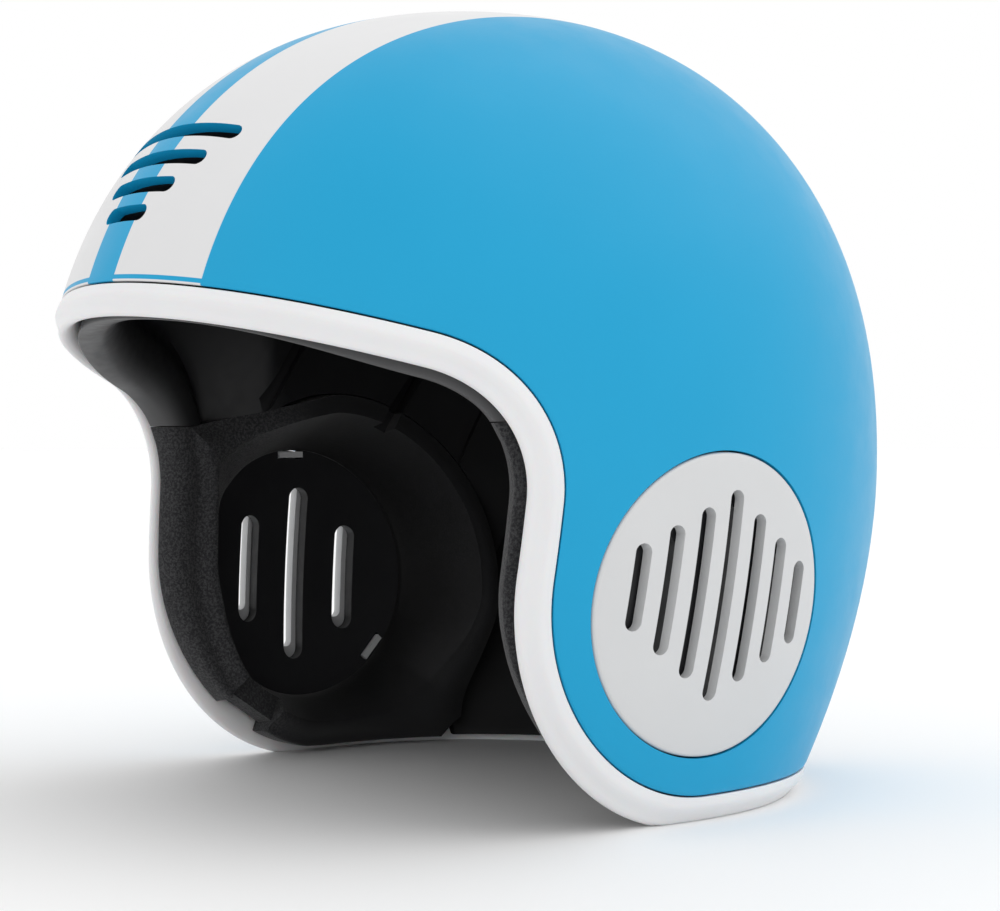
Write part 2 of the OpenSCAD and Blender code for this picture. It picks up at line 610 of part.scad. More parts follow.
module cradle_cover() {
    color("dimgray") set_down() difference() {
        translate([-cover_half, cradle_front - cover_thick - 0.05, cradle_low])
            cube([2 * cover_half, cover_thick, cradle_high - cradle_low]);
        for (x = [-1, 1], z = [-1, 1]) translate([x * screw_x, 0, dial_z + z * screw_z])
            along_y(screw_r + 0.15, cradle_front - 5, cradle_front + 1, 24);
    }
}
module cover_screws() color("silver") set_down()
    for (x = [-1, 1], z = [-1, 1]) translate([x * screw_x, 0, dial_z + z * screw_z]) {
        along_y(screw_r - 0.05, cradle_front - cover_thick - 0.5, cradle_front + screw_l - 0.5, 24);
        along_y(screw_r + 1, cradle_front - cover_thick - 0.95, cradle_front - cover_thick - 0.1, 24);
    }

// Soft strip on the head side of the cradle
cradle_pad_t = 5.5;
module cradle_pad() {
    nu = 16;
    nv = 6;
    y0 = cradle_front - cover_thick - 1.4;
    half = cover_half - 1;
    grid = function (lift, thick) [for (v = [0 : nv]) [for (u = [0 : nu]) [half * (2 * u / nu - 1),
        y0 - lift - thick * puff(u / nu) * puff(v / nv), mix(cradle_low + 1, cradle_high - 1, v / nv)]]];
    color("black") set_down() slab(grid(0, 0), grid(1, cradle_pad_t - 1));
}

// Dial, pinion and racks
teeth = 8;
pitch_r = tooth_m * teeth / 2;
tooth_step = PI * tooth_m;
addendum = 0.7 * tooth_m;
dedendum = 0.95 * tooth_m;
tooth_half = 0.6 * tooth_m;
rack_l = 40;
rack_y0 = cradle_front + 0.3;
rack_w = 3;
dial_y0 = cradle_y + 0.3;
dial_w = 6;
module fit_dial() {
    lobes = 12;
    color("black") set_down() translate([0, 0, dial_z]) difference() {
        along_y(dial_r, dial_y0, dial_y0 + dial_w, 72);
        for (i = [0 : lobes - 1]) rotate([0, 360 * (i + 0.5) / lobes, 0]) translate([dial_r + 1.5, 0, 0])
            along_y(2.6, dial_y0 - 1, dial_y0 + dial_w + 1, 32);
        along_y(shaft_r + shaft_gap, dial_y0 - 1, dial_y0 + 4, 48);
        along_y(1.3, dial_y0, dial_y0 + dial_w + 1, 24);
        along_y(2.9, dial_y0 + dial_w - 1.4, dial_y0 + dial_w + 1, 32);
    }
}
module dial_pinion() {
    color("white") set_down() translate([0, 0, dial_z]) difference() {
        union() {
            along_y(shaft_r, rack_y0, dial_y0 + 3.8);
            translate([0, rack_y0 + rack_w, 0]) rotate([90, 0, 0]) linear_extrude(rack_w) {
                circle(r = pitch_r - dedendum, $fn = 48);
                for (i = [0 : teeth - 1]) rotate(360 * i / teeth) polygon([
                    [-tooth_half, 0], [tooth_half, 0], [tooth_half, pitch_r - 0.1],
                    [tooth_half * 0.55, pitch_r + addendum], [-tooth_half * 0.55, pitch_r + addendum],
                    [-tooth_half, pitch_r - 0.1]]);
            }
        }
        along_y(1.05, dial_y0 - 4, dial_y0 + 5, 24);
    }
}
module dial_screw() color("silver") set_down() translate([0, 0, dial_z]) {
    along_y(1, dial_y0 - 3.5, dial_y0 + dial_w - 1, 24);
    along_y(2.6, dial_y0 + dial_w - 1.3, dial_y0 + dial_w - 0.1, 32);
}
// A toothed bar; the upper one serves the wearer's left, the lower one is the same turned over
module rack_bar() {
    count = floor(rack_l / tooth_step) - 1;
    x0 = -rack_l / 2;
    translate([0, rack_y0 + rack_w, 0]) rotate([90, 0, 0]) linear_extrude(rack_w) {
        translate([x0, pitch_r + dedendum]) square([rack_l, rack_room_z - 0.3 - pitch_r - dedendum]);
        for (i = [0 : count]) translate([tooth_step * (ceil(x0 / tooth_step) + i) + rack_shift, 0]) polygon([
            [-tooth_half * 0.55, pitch_r - addendum], [tooth_half * 0.55, pitch_r - addendum],
            [tooth_half * 1.5, pitch_r + dedendum + 0.1], [-tooth_half * 1.5, pitch_r + dedendum + 0.1]]);
    }
}
rack_shift = tooth_step / 2;
rack_rest = 4 * tooth_step;
module rack_left() color("ivory") set_down() translate([rack_rest, 0, dial_z]) rack_bar();
module rack_right() color("ivory") set_down() translate([-rack_rest, 0, dial_z]) rotate([0, 180, 0]) rack_bar();

// Arms: each is pinned to the nape foam and points forwards, so that the cradle slides on it
arm_front_y = sleeve_end - sleeve_l - cradle_travel;
boss_r = 5;
boss_l = 5.4;
boss_y = 90;
pin_r = 2;
pin_gap = 0.1;
wall_gap = 1.7;
module pin_axis() on_skin(boss_y, dial_z, liner_in + nape_t) children();
module fit_arm(side) {
    color("black") set_down() on_side(side) difference() {
        union() {
            translate([arm_x - arm_t / 2, arm_front_y, dial_z - arm_h / 2])
                cube([arm_t, boss_y - 4 - arm_front_y, arm_h]);
            pin_axis() translate([0, 0, -boss_l]) cylinder(r = boss_r, h = boss_l - wall_gap, $fn = 48);
        }
        pin_axis() cylinder(r = pin_r + pin_gap, h = 30, center = true, $fn = 32);
    }
}
module arm_pins() color("silver") set_down() for (side = [1, -1]) on_side(side) pin_axis() {
    translate([0, 0, -boss_l - 1]) cylinder(r = pin_r + 1.2, h = 0.8, $fn = 32);
    translate([0, 0, -boss_l - 0.4]) cylinder(r = pin_r, h = boss_l + nape_t - wall_gap, $fn = 32);
}

outer_shell();
edge_trim();
crown_liner();
nape_liner();
ear_pad(1);  // ear_pad_left
ear_pad(-1);  // ear_pad_right
ear_cover(1);  // ear_cover_left
ear_cover(-1);  // ear_cover_right
ear_plate(1);  // ear_plate_left
ear_plate(-1);  // ear_plate_right
strap_anchor(1, anchor_front);  // strap_anchor_front_left
strap_anchor(-1, anchor_front);  // strap_anchor_front_right
strap_anchor(1, anchor_rear);  // strap_anchor_rear_left
strap_anchor(-1, anchor_rear);  // strap_anchor_rear_right
anchor_studs();
crown_pad();
brow_pad(1);  // brow_pad_left
brow_pad(-1);  // brow_pad_right
nape_cradle();
cradle_cover();
cover_screws();
cradle_pad();
fit_dial();
dial_pinion();
dial_screw();
rack_left();
rack_right();
fit_arm(1);  // fit_arm_left
fit_arm(-1);  // fit_arm_right
arm_pins();
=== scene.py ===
import math

import bpy
from mathutils import Matrix, Vector


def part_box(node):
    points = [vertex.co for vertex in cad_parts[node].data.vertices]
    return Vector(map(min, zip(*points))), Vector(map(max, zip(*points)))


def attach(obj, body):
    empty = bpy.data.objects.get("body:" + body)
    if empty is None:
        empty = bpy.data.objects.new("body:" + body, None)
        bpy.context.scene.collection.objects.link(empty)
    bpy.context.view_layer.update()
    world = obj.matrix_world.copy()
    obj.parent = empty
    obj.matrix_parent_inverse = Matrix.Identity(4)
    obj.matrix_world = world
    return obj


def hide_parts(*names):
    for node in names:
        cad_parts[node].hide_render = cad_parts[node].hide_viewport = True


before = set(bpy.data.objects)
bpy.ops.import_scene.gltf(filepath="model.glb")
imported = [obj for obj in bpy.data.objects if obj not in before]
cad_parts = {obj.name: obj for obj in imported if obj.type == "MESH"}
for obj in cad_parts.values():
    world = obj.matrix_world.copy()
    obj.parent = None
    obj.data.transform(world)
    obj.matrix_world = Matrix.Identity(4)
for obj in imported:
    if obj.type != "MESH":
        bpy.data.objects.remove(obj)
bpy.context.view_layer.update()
mm = 0.001

# The egg that every part follows, in millimetres from the middle of its section
egg = {
    "halfWidth": 97, "front": 127, "rear": 115, "height": 210, "middleY": 3.6,
    "sideZ": 91, "frontZ": 87, "rearZ": 89,
    "sideDome": 2.27, "frontDome": 2.21, "rearDome": 2.17,
    "sideTaper": 0.121, "frontTaper": 0.05, "rearTaper": 0.30,
    "sideBend": 2.13, "frontBend": 2.0, "rearBend": 1.85,
    "frontRound": 1.94, "rearRound": 2.15,
}
headSpace = (65, 103, 91, 184)
shellThick = 3
foamDepth = 3.9  # outer face of the nape foam and the ear pieces, below the skin


def inset(depth):
    return (egg["halfWidth"] - depth, egg["front"] - depth, egg["rear"] - depth, egg["height"] - depth)


def mix(a, b, t):
    return a + (b - a) * t


def mixSizes(a, b, t):
    return tuple(mix(p, q, t) for p, q in zip(a, b))


def ease(t):
    u = max(0, min(1, t))
    return u * u * (3 - 2 * u)


def share(z, wideZ, top, dome, taper, bend):
    if z >= wideZ:
        return max(0, 1 - min(1, (z - wideZ) / (top - wideZ)) ** dome) ** (1 / dome)
    return 1 - taper * ((wideZ - z) / wideZ) ** bend


def sideAt(z, size):
    return size[0] * share(z, egg["sideZ"], size[3], egg["sideDome"], egg["sideTaper"], egg["sideBend"])


def frontAt(z, size):
    return size[1] * share(z, egg["frontZ"], size[3], egg["frontDome"], egg["frontTaper"], egg["frontBend"])


def rearAt(z, size):
    return size[2] * share(z, egg["rearZ"], size[3], egg["rearDome"], egg["rearTaper"], egg["rearBend"])


def lengthAt(y, z, size):
    if y < 0:
        return egg["frontRound"], frontAt(z, size)
    return egg["rearRound"], rearAt(z, size)


# Point of the egg at a turn about Z, in degrees, and a height
def skin(turn, z, size):
    c = math.cos(math.radians(turn))
    s = math.sin(math.radians(turn))
    power, length = lengthAt(s, z, size)
    x = math.copysign(sideAt(z, size) * abs(c) ** (2 / power), c)
    y = math.copysign(length * abs(s) ** (2 / power), s)
    return Vector((x, y, z))


# Width of the egg beside a point of the side view
def skinX(y, z, size):
    power, length = lengthAt(y, z, size)
    part = min(1, abs(y) / max(length, 1e-6))
    return sideAt(z, size) * max(0, 1 - part ** power) ** (1 / power)


def overSide(q, size):
    return Vector((skinX(q.x, q.y, size), q.x, q.y))


def turnAt(y, z, size):
    power, length = lengthAt(y, z, size)
    return math.copysign(math.degrees(math.asin(min(1, (abs(y) / length) ** (power / 2)))), y)


def level(x, y, z):
    power, length = lengthAt(y, z, inset(0))
    return (abs(x) / sideAt(z, inset(0))) ** power + (abs(y) / length) ** power


def outward(p, h=0.2):
    return Vector((
        level(p.x + h, p.y, p.z) - level(p.x - h, p.y, p.z),
        level(p.x, p.y + h, p.z) - level(p.x, p.y - h, p.z),
        level(p.x, p.y, p.z + h) - level(p.x, p.y, p.z - h))).normalized()


earPlace = (-4, 54)

# The shell's edge in side view: brow line, temple, cheek and the level bottom
opening = {
    "browZ": 132, "templeY": -46, "templeZ": 110, "templeRound": 38,
    "cheekY": -56, "cheekRound": 50, "edgeZ": 6.7,
    "browSteps": 9, "arcSteps": 8, "postSteps": 2, "heelSteps": 10, "finer": 5, "settle": 4,
}


def flat(x, y):
    return Vector((x, y))


def cornerArc(a, b, c, radius, steps):
    u = (a - b).normalized()
    w = (c - b).normalized()
    half = math.acos(u.dot(w)) / 2
    middle = b + (u + w).normalized() * radius / math.sin(half)
    start = b + u * radius / math.tan(half)
    end = b + w * radius / math.tan(half)
    first = math.atan2(start.y - middle.y, start.x - middle.x)
    span = math.atan2(end.y - middle.y, end.x - middle.x) - first
    span = (span + math.pi) % (2 * math.pi) - math.pi
    return [middle + radius * flat(math.cos(first + span * i / steps), math.sin(first + span * i / steps))
            for i in range(steps + 1)]


def halfEdgePoints():
    n = opening["finer"]
    brow = flat(-frontAt(opening["browZ"], inset(0)), opening["browZ"])
    temple = flat(opening["templeY"], opening["templeZ"])
    cheek = flat(opening["cheekY"], opening["edgeZ"])
    heel = flat(egg["rear"], opening["edgeZ"])
    templeArc = cornerArc(brow, temple, cheek, opening["templeRound"], opening["arcSteps"] * n)
    cheekArc = cornerArc(temple, cheek, heel, opening["cheekRound"], opening["arcSteps"] * n)
    start = templeArc[0]
    slope = (start.y - brow.y) / (start.x - brow.x)
    browEnd = turnAt(start.x, start.y, inset(0))
    points = []
    browCount = opening["browSteps"] * n
    for i in range(browCount):
        turn = -90 + (browEnd + 90) * i / browCount
        z = brow.y
        for _ in range(opening["settle"]):
            z = brow.y + (skin(turn, z, inset(0)).y - brow.x) * slope
        points.append((turn, z))
    points += [(turnAt(p.x, p.y, inset(0)), p.y) for p in templeArc]
    postCount = opening["postSteps"] * n
    for i in range(1, postCount):
        p = templeArc[-1].lerp(cheekArc[0], i / postCount)
        points.append((turnAt(p.x, p.y, inset(0)), p.y))
    points += [(turnAt(p.x, p.y, inset(0)), p.y) for p in cheekArc]
    heelStart = points[-1][0]
    heelCount = opening["heelSteps"] * n
    points += [(mix(heelStart, 90, i / heelCount), opening["edgeZ"]) for i in range(1, heelCount + 1)]
    return points, slope, brow


halfPoints, browSlope, browPoint = halfEdgePoints()
lastEdge = len(halfPoints) - 1
# Each edge point holds its turn, its height, its side and its share of the way from brow to nape
halfEdge = [(p[0], p[1], 1, i / lastEdge) for i, p in enumerate(halfPoints)]
edge = halfEdge + [(e[0], e[1], -1, e[3]) for e in reversed(halfEdge[1:-1])]


def layerPoint(e, t, size):
    turn = mix(e[0], -90 + 180 * e[3], t)
    z = e[1] + (size[3] - e[1]) * math.sin(math.radians(90 * t))
    p = skin(turn, z, size)
    return Vector((e[2] * p.x, p.y, p.z))


def inScene(p):
    return Vector((p[0], p[1] + egg["middleY"], p[2])) * mm


# Past the shell's edge come the trim's bead and, inside it, the rim of the foam
trim = {"width": 8.7, "depth": 6, "gap": 0.4, "sole": 0.8}
rim = {"inside": trim["depth"] + 0.6, "foam": 15.5, "step": 1.2,
       "past": ((15, 5.6), (60, 10.6), (105, 10.6), (120, 11.2), (131, 9.2)),
       "outerCorner": 0.8, "innerCorner": ((15, 1.5), (60, 7)), "cornerPart": 0.7, "cornerSteps": 4}


# Direction past the edge, along the skin, at each point of the half edge
def edgeDirections():
    ring = [layerPoint(e, 0, inset(0)) for e in edge]
    return [(ring[i + 1] - ring[i - 1]).normalized().cross(outward(ring[i])).normalized()
            for i in range(lastEdge + 1)]


edgeOut = edgeDirections()


def offEdge(e):
    off = edgeOut[round(e[3] * lastEdge)]
    return Vector((e[2] * off.x, off.y, off.z))


# A value that eases from one height to the next
def atHeights(steps, z):
    value = steps[0][1]
    for (low, before), (high, after) in zip(steps, steps[1:]):
        value += (after - before) * ease((z - low) / (high - low))
    return value


def floorFit(z, drop):
    return min(1, (z + trim["sole"]) / max(0.1, -drop * trim["width"]))


def pastEdge(e, p, part):
    off = offEdge(e)
    return p + off * atHeights(rim["past"], e[1]) * part * floorFit(p.z, off.z)


def inwardsAt(e):
    return (layerPoint(e, 0, inset(1)) - layerPoint(e, 0, inset(0))).normalized()


def rimOuter(e, part):
    return pastEdge(e, layerPoint(e, 0, inset(0)) + inwardsAt(e) * rim["inside"], part)


def rimInner(e, part, depth):
    return pastEdge(e, layerPoint(e, 0, inset(depth)), part)


# The foam's rim from its ledge beside the trim, round a small and a wide corner, to its inner face
def rimPoints(e, depth=rim["foam"]):
    outer, inner = rimOuter(e, 1), rimInner(e, 1, depth)
    across = inner - outer
    points = [rimOuter(e, 0)]
    for corner, before, after, radius in (
            (outer, rimOuter(e, 0) - outer, across, rim["outerCorner"]),
            (inner, -across, rimInner(e, 0, depth) - inner, atHeights(rim["innerCorner"], e[1]))):
        radius = min(radius, rim["cornerPart"] * before.length, rim["cornerPart"] * after.length,
                     across.length - 1)
        start, end = corner + before.normalized() * radius, corner + after.normalized() * radius
        for i in range(rim["cornerSteps"] + 1):
            k = i / rim["cornerSteps"]
            points.append(start.lerp(corner, k).lerp(corner.lerp(end, k), k))
    return points


def deselectAll():
    if bpy.context.object and bpy.context.object.mode != "OBJECT":
        bpy.ops.object.mode_set(mode="OBJECT")
    bpy.ops.object.select_all(action="DESELECT")


def makeActive(piece):
    deselectAll()
    piece.select_set(True)
    bpy.context.view_layer.objects.active = piece


def named(name):
    piece = bpy.context.object
    piece.name = name
    piece.data.name = name
    return piece


def startEdit(piece, select="SELECT"):
    makeActive(piece)
    bpy.ops.object.mode_set(mode="EDIT")
    bpy.ops.mesh.select_all(action=select)


def recalculate(piece):
    startEdit(piece)
    bpy.ops.mesh.remove_doubles(threshold=1e-6)
    bpy.ops.mesh.normals_make_consistent(inside=False)
    bpy.ops.object.mode_set(mode="OBJECT")


# A grid primitive whose vertices are laid on a surface: place(u, v) gives a point in millimetres
def layGrid(name, columns, rows, place):
    deselectAll()
    bpy.ops.mesh.primitive_grid_add(x_subdivisions=columns, y_subdivisions=rows, size=1)
    piece = named(name)
    for vertex in piece.data.vertices:
        u = round((vertex.co.x + 0.5) * columns)
        v = round((vertex.co.y + 0.5) * rows)
        vertex.co = inScene(place(u, v))
    return piece


# A closed band round a loop of places, from the first row to the last, with its ends welded
def layLoops(name, loops):
    columns = len(loops[0])
    piece = layGrid(name, columns, len(loops) - 1, lambda u, v: loops[v][u % columns])
    recalculate(piece)
    return piece


def joinPieces(first, *others):
    makeActive(first)
    for other in others:
        other.select_set(True)
    bpy.ops.object.join()
    return first


def modify(piece, name, kind, **settings):
    makeActive(piece)
    modifier = piece.modifiers.new(name, kind)
    for key, value in settings.items():
        setattr(modifier, key, value)
    bpy.ops.object.modifier_apply(modifier=modifier.name)


def cutWith(piece, cutter, operation="DIFFERENCE"):
    modify(piece, "cut", "BOOLEAN", operation=operation, solver="EXACT", material_mode="TRANSFER", object=cutter)
    bpy.data.objects.remove(cutter, do_unlink=True)


def smooth(piece, degrees):
    makeActive(piece)
    bpy.ops.object.shade_smooth_by_angle(angle=math.radians(degrees))


# A side view outline drawn through the helmet from one X to another
def sideCutter(points, fromX, toX):
    deselectAll()
    bpy.ops.mesh.primitive_circle_add(vertices=len(points), radius=1, fill_type="NGON")
    cutter = named("cutter")
    for vertex, p in zip(cutter.data.vertices, points):
        vertex.co = inScene((fromX, p[0], p[1]))
    startEdit(cutter)
    bpy.ops.mesh.extrude_region_move(TRANSFORM_OT_translate={"value": ((toX - fromX) * mm, 0, 0)})
    bpy.ops.object.mode_set(mode="OBJECT")
    recalculate(cutter)
    return cutter


# A bar with round ends, standing on a frame: its length lies along the frame's first axis
def slotCutter(placeIn, length, width, depthFrom, depthTo):
    deselectAll()
    bpy.ops.mesh.primitive_cylinder_add(vertices=48, radius=width / 2, depth=depthTo - depthFrom,
                                        location=(0, 0, (depthFrom + depthTo) / 2))
    cutter = named("cutter")
    for vertex in cutter.data.vertices:
        p = vertex.co.copy()
        p.z += (depthFrom + depthTo) / 2
        p.x += math.copysign(length / 2, p.x)
        vertex.co = inScene(placeIn @ p)
    cutter.location = (0, 0, 0)
    recalculate(cutter)
    return cutter


def boxCutter(placeIn, low, high):
    deselectAll()
    bpy.ops.mesh.primitive_cube_add(size=1)
    cutter = named("cutter")
    for vertex in cutter.data.vertices:
        p = Vector([mix(a, b, c + 0.5) for a, b, c in zip(low, high, vertex.co)])
        vertex.co = inScene(placeIn @ p)
    recalculate(cutter)
    return cutter


# A frame on the skin: its third axis points outwards and its first one down
def onSkin(y, z, depth, turn=0, side=1):
    d = outward(Vector((skinX(y, z, inset(0)), y, z)))
    place = (Matrix.Translation((skinX(y, z, inset(depth)), y, z))
             @ Matrix.Rotation(math.atan2(d.y, d.x), 4, "Z")
             @ Matrix.Rotation(math.acos(d.z), 4, "Y")
             @ Matrix.Rotation(math.radians(turn), 4, "Z"))
    return Matrix.Diagonal((side, 1, 1, 1)) @ place


def finishPiece(piece, body, material, nodes, degrees=35):
    smooth(piece, degrees)
    if material:
        piece.data.materials.clear()
        piece.data.materials.append(material)
    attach(piece, body)
    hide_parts(*nodes)
    print("piece", piece.name, len(piece.data.vertices), "vertices")
    return piece


# Materials

def startMaterial(name, colour, roughness, **values):
    material = bpy.data.materials.new(name)
    material.use_nodes = True
    shader = material.node_tree.nodes["Principled BSDF"]
    shader.inputs["Base Color"].default_value = (*colour, 1)
    shader.inputs["Roughness"].default_value = roughness
    for socket, value in values.items():
        shader.inputs[socket.replace("_", " ")].default_value = value
    return material


def addNode(material, kind, settings=None, **inputs):
    node = material.node_tree.nodes.new(kind)
    for key, value in (settings or {}).items():
        setattr(node, key, value)
    for key, value in inputs.items():
        connect(material, value, node.inputs[key.replace("_", " ")])
    return node


def connect(material, value, socket):
    if isinstance(value, bpy.types.NodeSocket):
        material.node_tree.links.new(value, socket)
    else:
        socket.default_value = value


def calculate(material, operation, a, b=0.0):
    node = material.node_tree.nodes.new("ShaderNodeMath")
    node.operation = operation
    connect(material, a, node.inputs[0])
    connect(material, b, node.inputs[1])
    return node.outputs[0]


def objectPlace(material):
    return addNode(material, "ShaderNodeTexCoord").outputs["Object"]


def noiseAt(material, place, scale, detail=3.0, roughness=0.55):
    return addNode(material, "ShaderNodeTexNoise", Vector=place, Scale=scale, Detail=detail,
                   Roughness=roughness).outputs[0]


def spread(material, value, low, high, fromLow=0.3, fromHigh=0.7):
    node = addNode(material, "ShaderNodeMapRange", Value=value, From_Min=fromLow, From_Max=fromHigh,
                   To_Min=low, To_Max=high)
    return node.outputs[0]


# Smooth step from one value to another, where a value goes from low to high
def fade(material, value, low, high, start=0.0, end=1.0):
    return addNode(material, "ShaderNodeMapRange", {"interpolation_type": "SMOOTHSTEP"}, Value=value,
                   From_Min=low, From_Max=high, To_Min=start, To_Max=end).outputs[0]


def blendColours(material, factor, a, b):
    node = addNode(material, "ShaderNodeMix", {"data_type": "RGBA"})
    connect(material, factor, node.inputs[0])
    connect(material, a if isinstance(a, bpy.types.NodeSocket) else (*a, 1), node.inputs[6])
    connect(material, b if isinstance(b, bpy.types.NodeSocket) else (*b, 1), node.inputs[7])
    return node.outputs[2]


def shaderInput(material, name):
    return material.node_tree.nodes["Principled BSDF"].inputs[name]


def setColour(material, colour):
    connect(material, colour, shaderInput(material, "Base Color"))


def colourSocket(material):
    return shaderInput(material, "Base Color").links[0].from_socket


def setBump(material, height, strength, distance):
    bump = addNode(material, "ShaderNodeBump", Height=height, Strength=strength, Distance=distance)
    connect(material, bump.outputs[0], shaderInput(material, "Normal"))


# Colour and roughness that wander a little over the surface, as moulded plastic's do
def wander(material, place, colour, other, rough, scale=35):
    broad = noiseAt(material, place, scale)
    setColour(material, blendColours(material, spread(material, broad, 0, 1), colour, other))
    connect(material, spread(material, noiseAt(material, place, scale * 7), *rough),
            shaderInput(material, "Roughness"))


paint = {
    "blue": (0.008, 0.342, 0.610), "blueDeep": (0.006, 0.330, 0.590), "white": (0.72, 0.72, 0.725),
    "whiteSoft": (0.70, 0.70, 0.705), "stripeFrom": 6.0, "stripeTo": 33.0, "lineFrom": 0.7, "lineTo": 1.9,
    "borderWidth": 0.12,
}


def shellPlastic(name):
    material = startMaterial(name, paint["blue"], 0.38, Specular_IOR_Level=0.25)
    place = objectPlace(material)
    wander(material, place, paint["blue"], paint["blueDeep"], rough=(0.34, 0.42), scale=14)
    setBump(material, noiseAt(material, place, 420, detail=2), strength=0.04, distance=0.0006)
    return material


# Step from 0 to 1 where a length in metres passes a value in millimetres
def stepAt(material, value, at):
    half = paint["borderWidth"] / 2
    node = addNode(material, "ShaderNodeMapRange", Value=value, From_Min=(at - half) * mm,
                   From_Max=(at + half) * mm, To_Min=0.0, To_Max=1.0)
    return node.outputs[0]


# 1 where a length is between two values in millimetres
def inBand(material, value, low, high):
    return calculate(material, "MULTIPLY", stepAt(material, value, low),
                     calculate(material, "SUBTRACT", 1.0, stepAt(material, value, high)))


def stripedPaint(name):
    material = shellPlastic(name)
    place = objectPlace(material)
    parts = addNode(material, "ShaderNodeSeparateXYZ", Vector=place).outputs
    across = calculate(material, "ABSOLUTE", parts["X"])
    inStripe = inBand(material, across, paint["stripeFrom"], paint["stripeTo"])
    # Height above the brow line in front, and above the level edge behind
    browRise = calculate(material, "MULTIPLY", calculate(
        material, "SUBTRACT", parts["Y"], (browPoint.x + egg["middleY"]) * mm), browSlope)
    overBrow = calculate(material, "SUBTRACT", calculate(
        material, "SUBTRACT", parts["Z"], opening["browZ"] * mm), browRise)
    overHeel = calculate(material, "SUBTRACT", parts["Z"], opening["edgeZ"] * mm)
    behind = calculate(material, "GREATER_THAN", parts["Y"], 0.0)
    above = addNode(material, "ShaderNodeMix", {"data_type": "FLOAT"})
    connect(material, behind, above.inputs[0])
    connect(material, overBrow, above.inputs[2])
    connect(material, overHeel, above.inputs[3])
    inLine = inBand(material, above.outputs[0], paint["lineFrom"], paint["lineTo"])
    white = calculate(material, "MULTIPLY", inStripe, calculate(material, "SUBTRACT", 1.0, inLine))
    shade = noiseAt(material, place, 20)
    whitePaint = blendColours(material, spread(material, shade, 0, 1), paint["white"], paint["whiteSoft"])
    setColour(material, blendColours(material, white, colourSocket(material), whitePaint))
    return material


def plainPlastic(name, colour, other, rough, grain=600, bump=0.05, specular=0.5):
    material = startMaterial(name, colour, rough[0], Specular_IOR_Level=specular)
    place = objectPlace(material)
    wander(material, place, colour, other, rough)
    setBump(material, noiseAt(material, place, grain, detail=2), bump, distance=0.0004)
    return material


def softRubber(name, colour, other):
    material = startMaterial(name, colour, 0.5, Subsurface_Weight=0.12, Subsurface_Scale=0.004)
    place = objectPlace(material)
    wander(material, place, colour, other, rough=(0.42, 0.52), scale=22)
    setBump(material, noiseAt(material, place, 900, detail=2), strength=0.05, distance=0.0003)
    return material


# Soft foam with open pores: fine pale and dark specks and a pitted face
def grainyFoam(name, colour, speck):
    material = startMaterial(name, colour, 0.85, Sheen_Weight=0.15, Sheen_Roughness=0.5)
    place = objectPlace(material)
    fine = noiseAt(material, place, 1500, detail=3, roughness=0.7)
    coarse = noiseAt(material, place, 500, detail=2)
    specks = spread(material, fine, 0, 1, fromLow=0.42, fromHigh=0.62)
    setColour(material, blendColours(material, specks, colour, speck))
    both = calculate(material, "ADD", fine, calculate(material, "MULTIPLY", coarse, 0.6))
    setBump(material, both, strength=0.45, distance=0.0008)
    return material


# The liner's foam: black inside, with painted light on the face of its rim, fading inwards by the share in the map
# named rim
def linerFoamPaintedRimLight(name, colour, other, rimLightColour):
    material = plainPlastic(name, colour, other, (0.42, 0.55), grain=300, bump=0.12, specular=0.2)
    uv = addNode(material, "ShaderNodeUVMap", {"uv_map": "rim"}).outputs[0]
    share = addNode(material, "ShaderNodeSeparateXYZ", Vector=uv).outputs[0]
    # Painted light on the rim's face: the colour is paled there and fades to black inside
    setColour(material, blendColours(material, share, colourSocket(material), rimLightColour))
    return material


# How far from the ear the skin ends and the grain starts, in metres; the skin's painted shade in the bowl and
# painted highlight out to the ridge; and its finish
earSkin = {
    "grainFrom": 0.034, "grainTo": 0.038, "ridgeHighlightTo": 0.052, "frontFrom": -0.022, "frontTo": -0.006,
    "uneven": 0.002, "dark": 0.5, "pale": 1.5, "specular": 0.2, "rough": (0.55, 0.85), "bump": (0.1, 0.45),
}


# The ear pad's foam: a smooth moulded skin round the ear, painted darker in the bowl and lighter out to the ridge
# as shade and highlight, and open grain out at its front and lower edge
def earFoam(name, skinColour, colour, speck):
    material = grainyFoam(name, colour, speck)
    place = objectPlace(material)
    parts = addNode(material, "ShaderNodeSeparateXYZ", Vector=place).outputs
    y = calculate(material, "SUBTRACT", parts["Y"], (earPlace[0] + egg["middleY"]) * mm)
    z = calculate(material, "SUBTRACT", parts["Z"], earPlace[1] * mm)
    away = calculate(material, "SQRT", calculate(
        material, "ADD", calculate(material, "MULTIPLY", y, y), calculate(material, "MULTIPLY", z, z)))
    uneven = spread(material, noiseAt(material, place, 60), -earSkin["uneven"], earSkin["uneven"])
    away = calculate(material, "ADD", away, uneven)
    outside = fade(material, away, earSkin["grainFrom"], earSkin["grainTo"])
    front = fade(material, calculate(material, "ADD", y, uneven),
                 earSkin["frontFrom"], earSkin["frontTo"], 1.0, 0.0)
    # Painted shade and highlight: the skin's colour is darkened near the ear and lightened out to the ridge
    ridgeHighlight = fade(material, away, earSkin["grainTo"], earSkin["ridgeHighlightTo"])
    skinColour = blendColours(material, ridgeHighlight, [earSkin["dark"] * v for v in skinColour],
                              [earSkin["pale"] * v for v in skinColour])
    grain = calculate(material, "MULTIPLY", outside, front)
    setColour(material, blendColours(material, grain, skinColour, colourSocket(material)))
    shaderInput(material, "Specular IOR Level").default_value = earSkin["specular"]
    connect(material, spread(material, grain, *earSkin["rough"], 0, 1), shaderInput(material, "Roughness"))
    bump = shaderInput(material, "Normal").links[0].from_node
    connect(material, spread(material, grain, *earSkin["bump"], 0, 1), bump.inputs["Strength"])
    return material


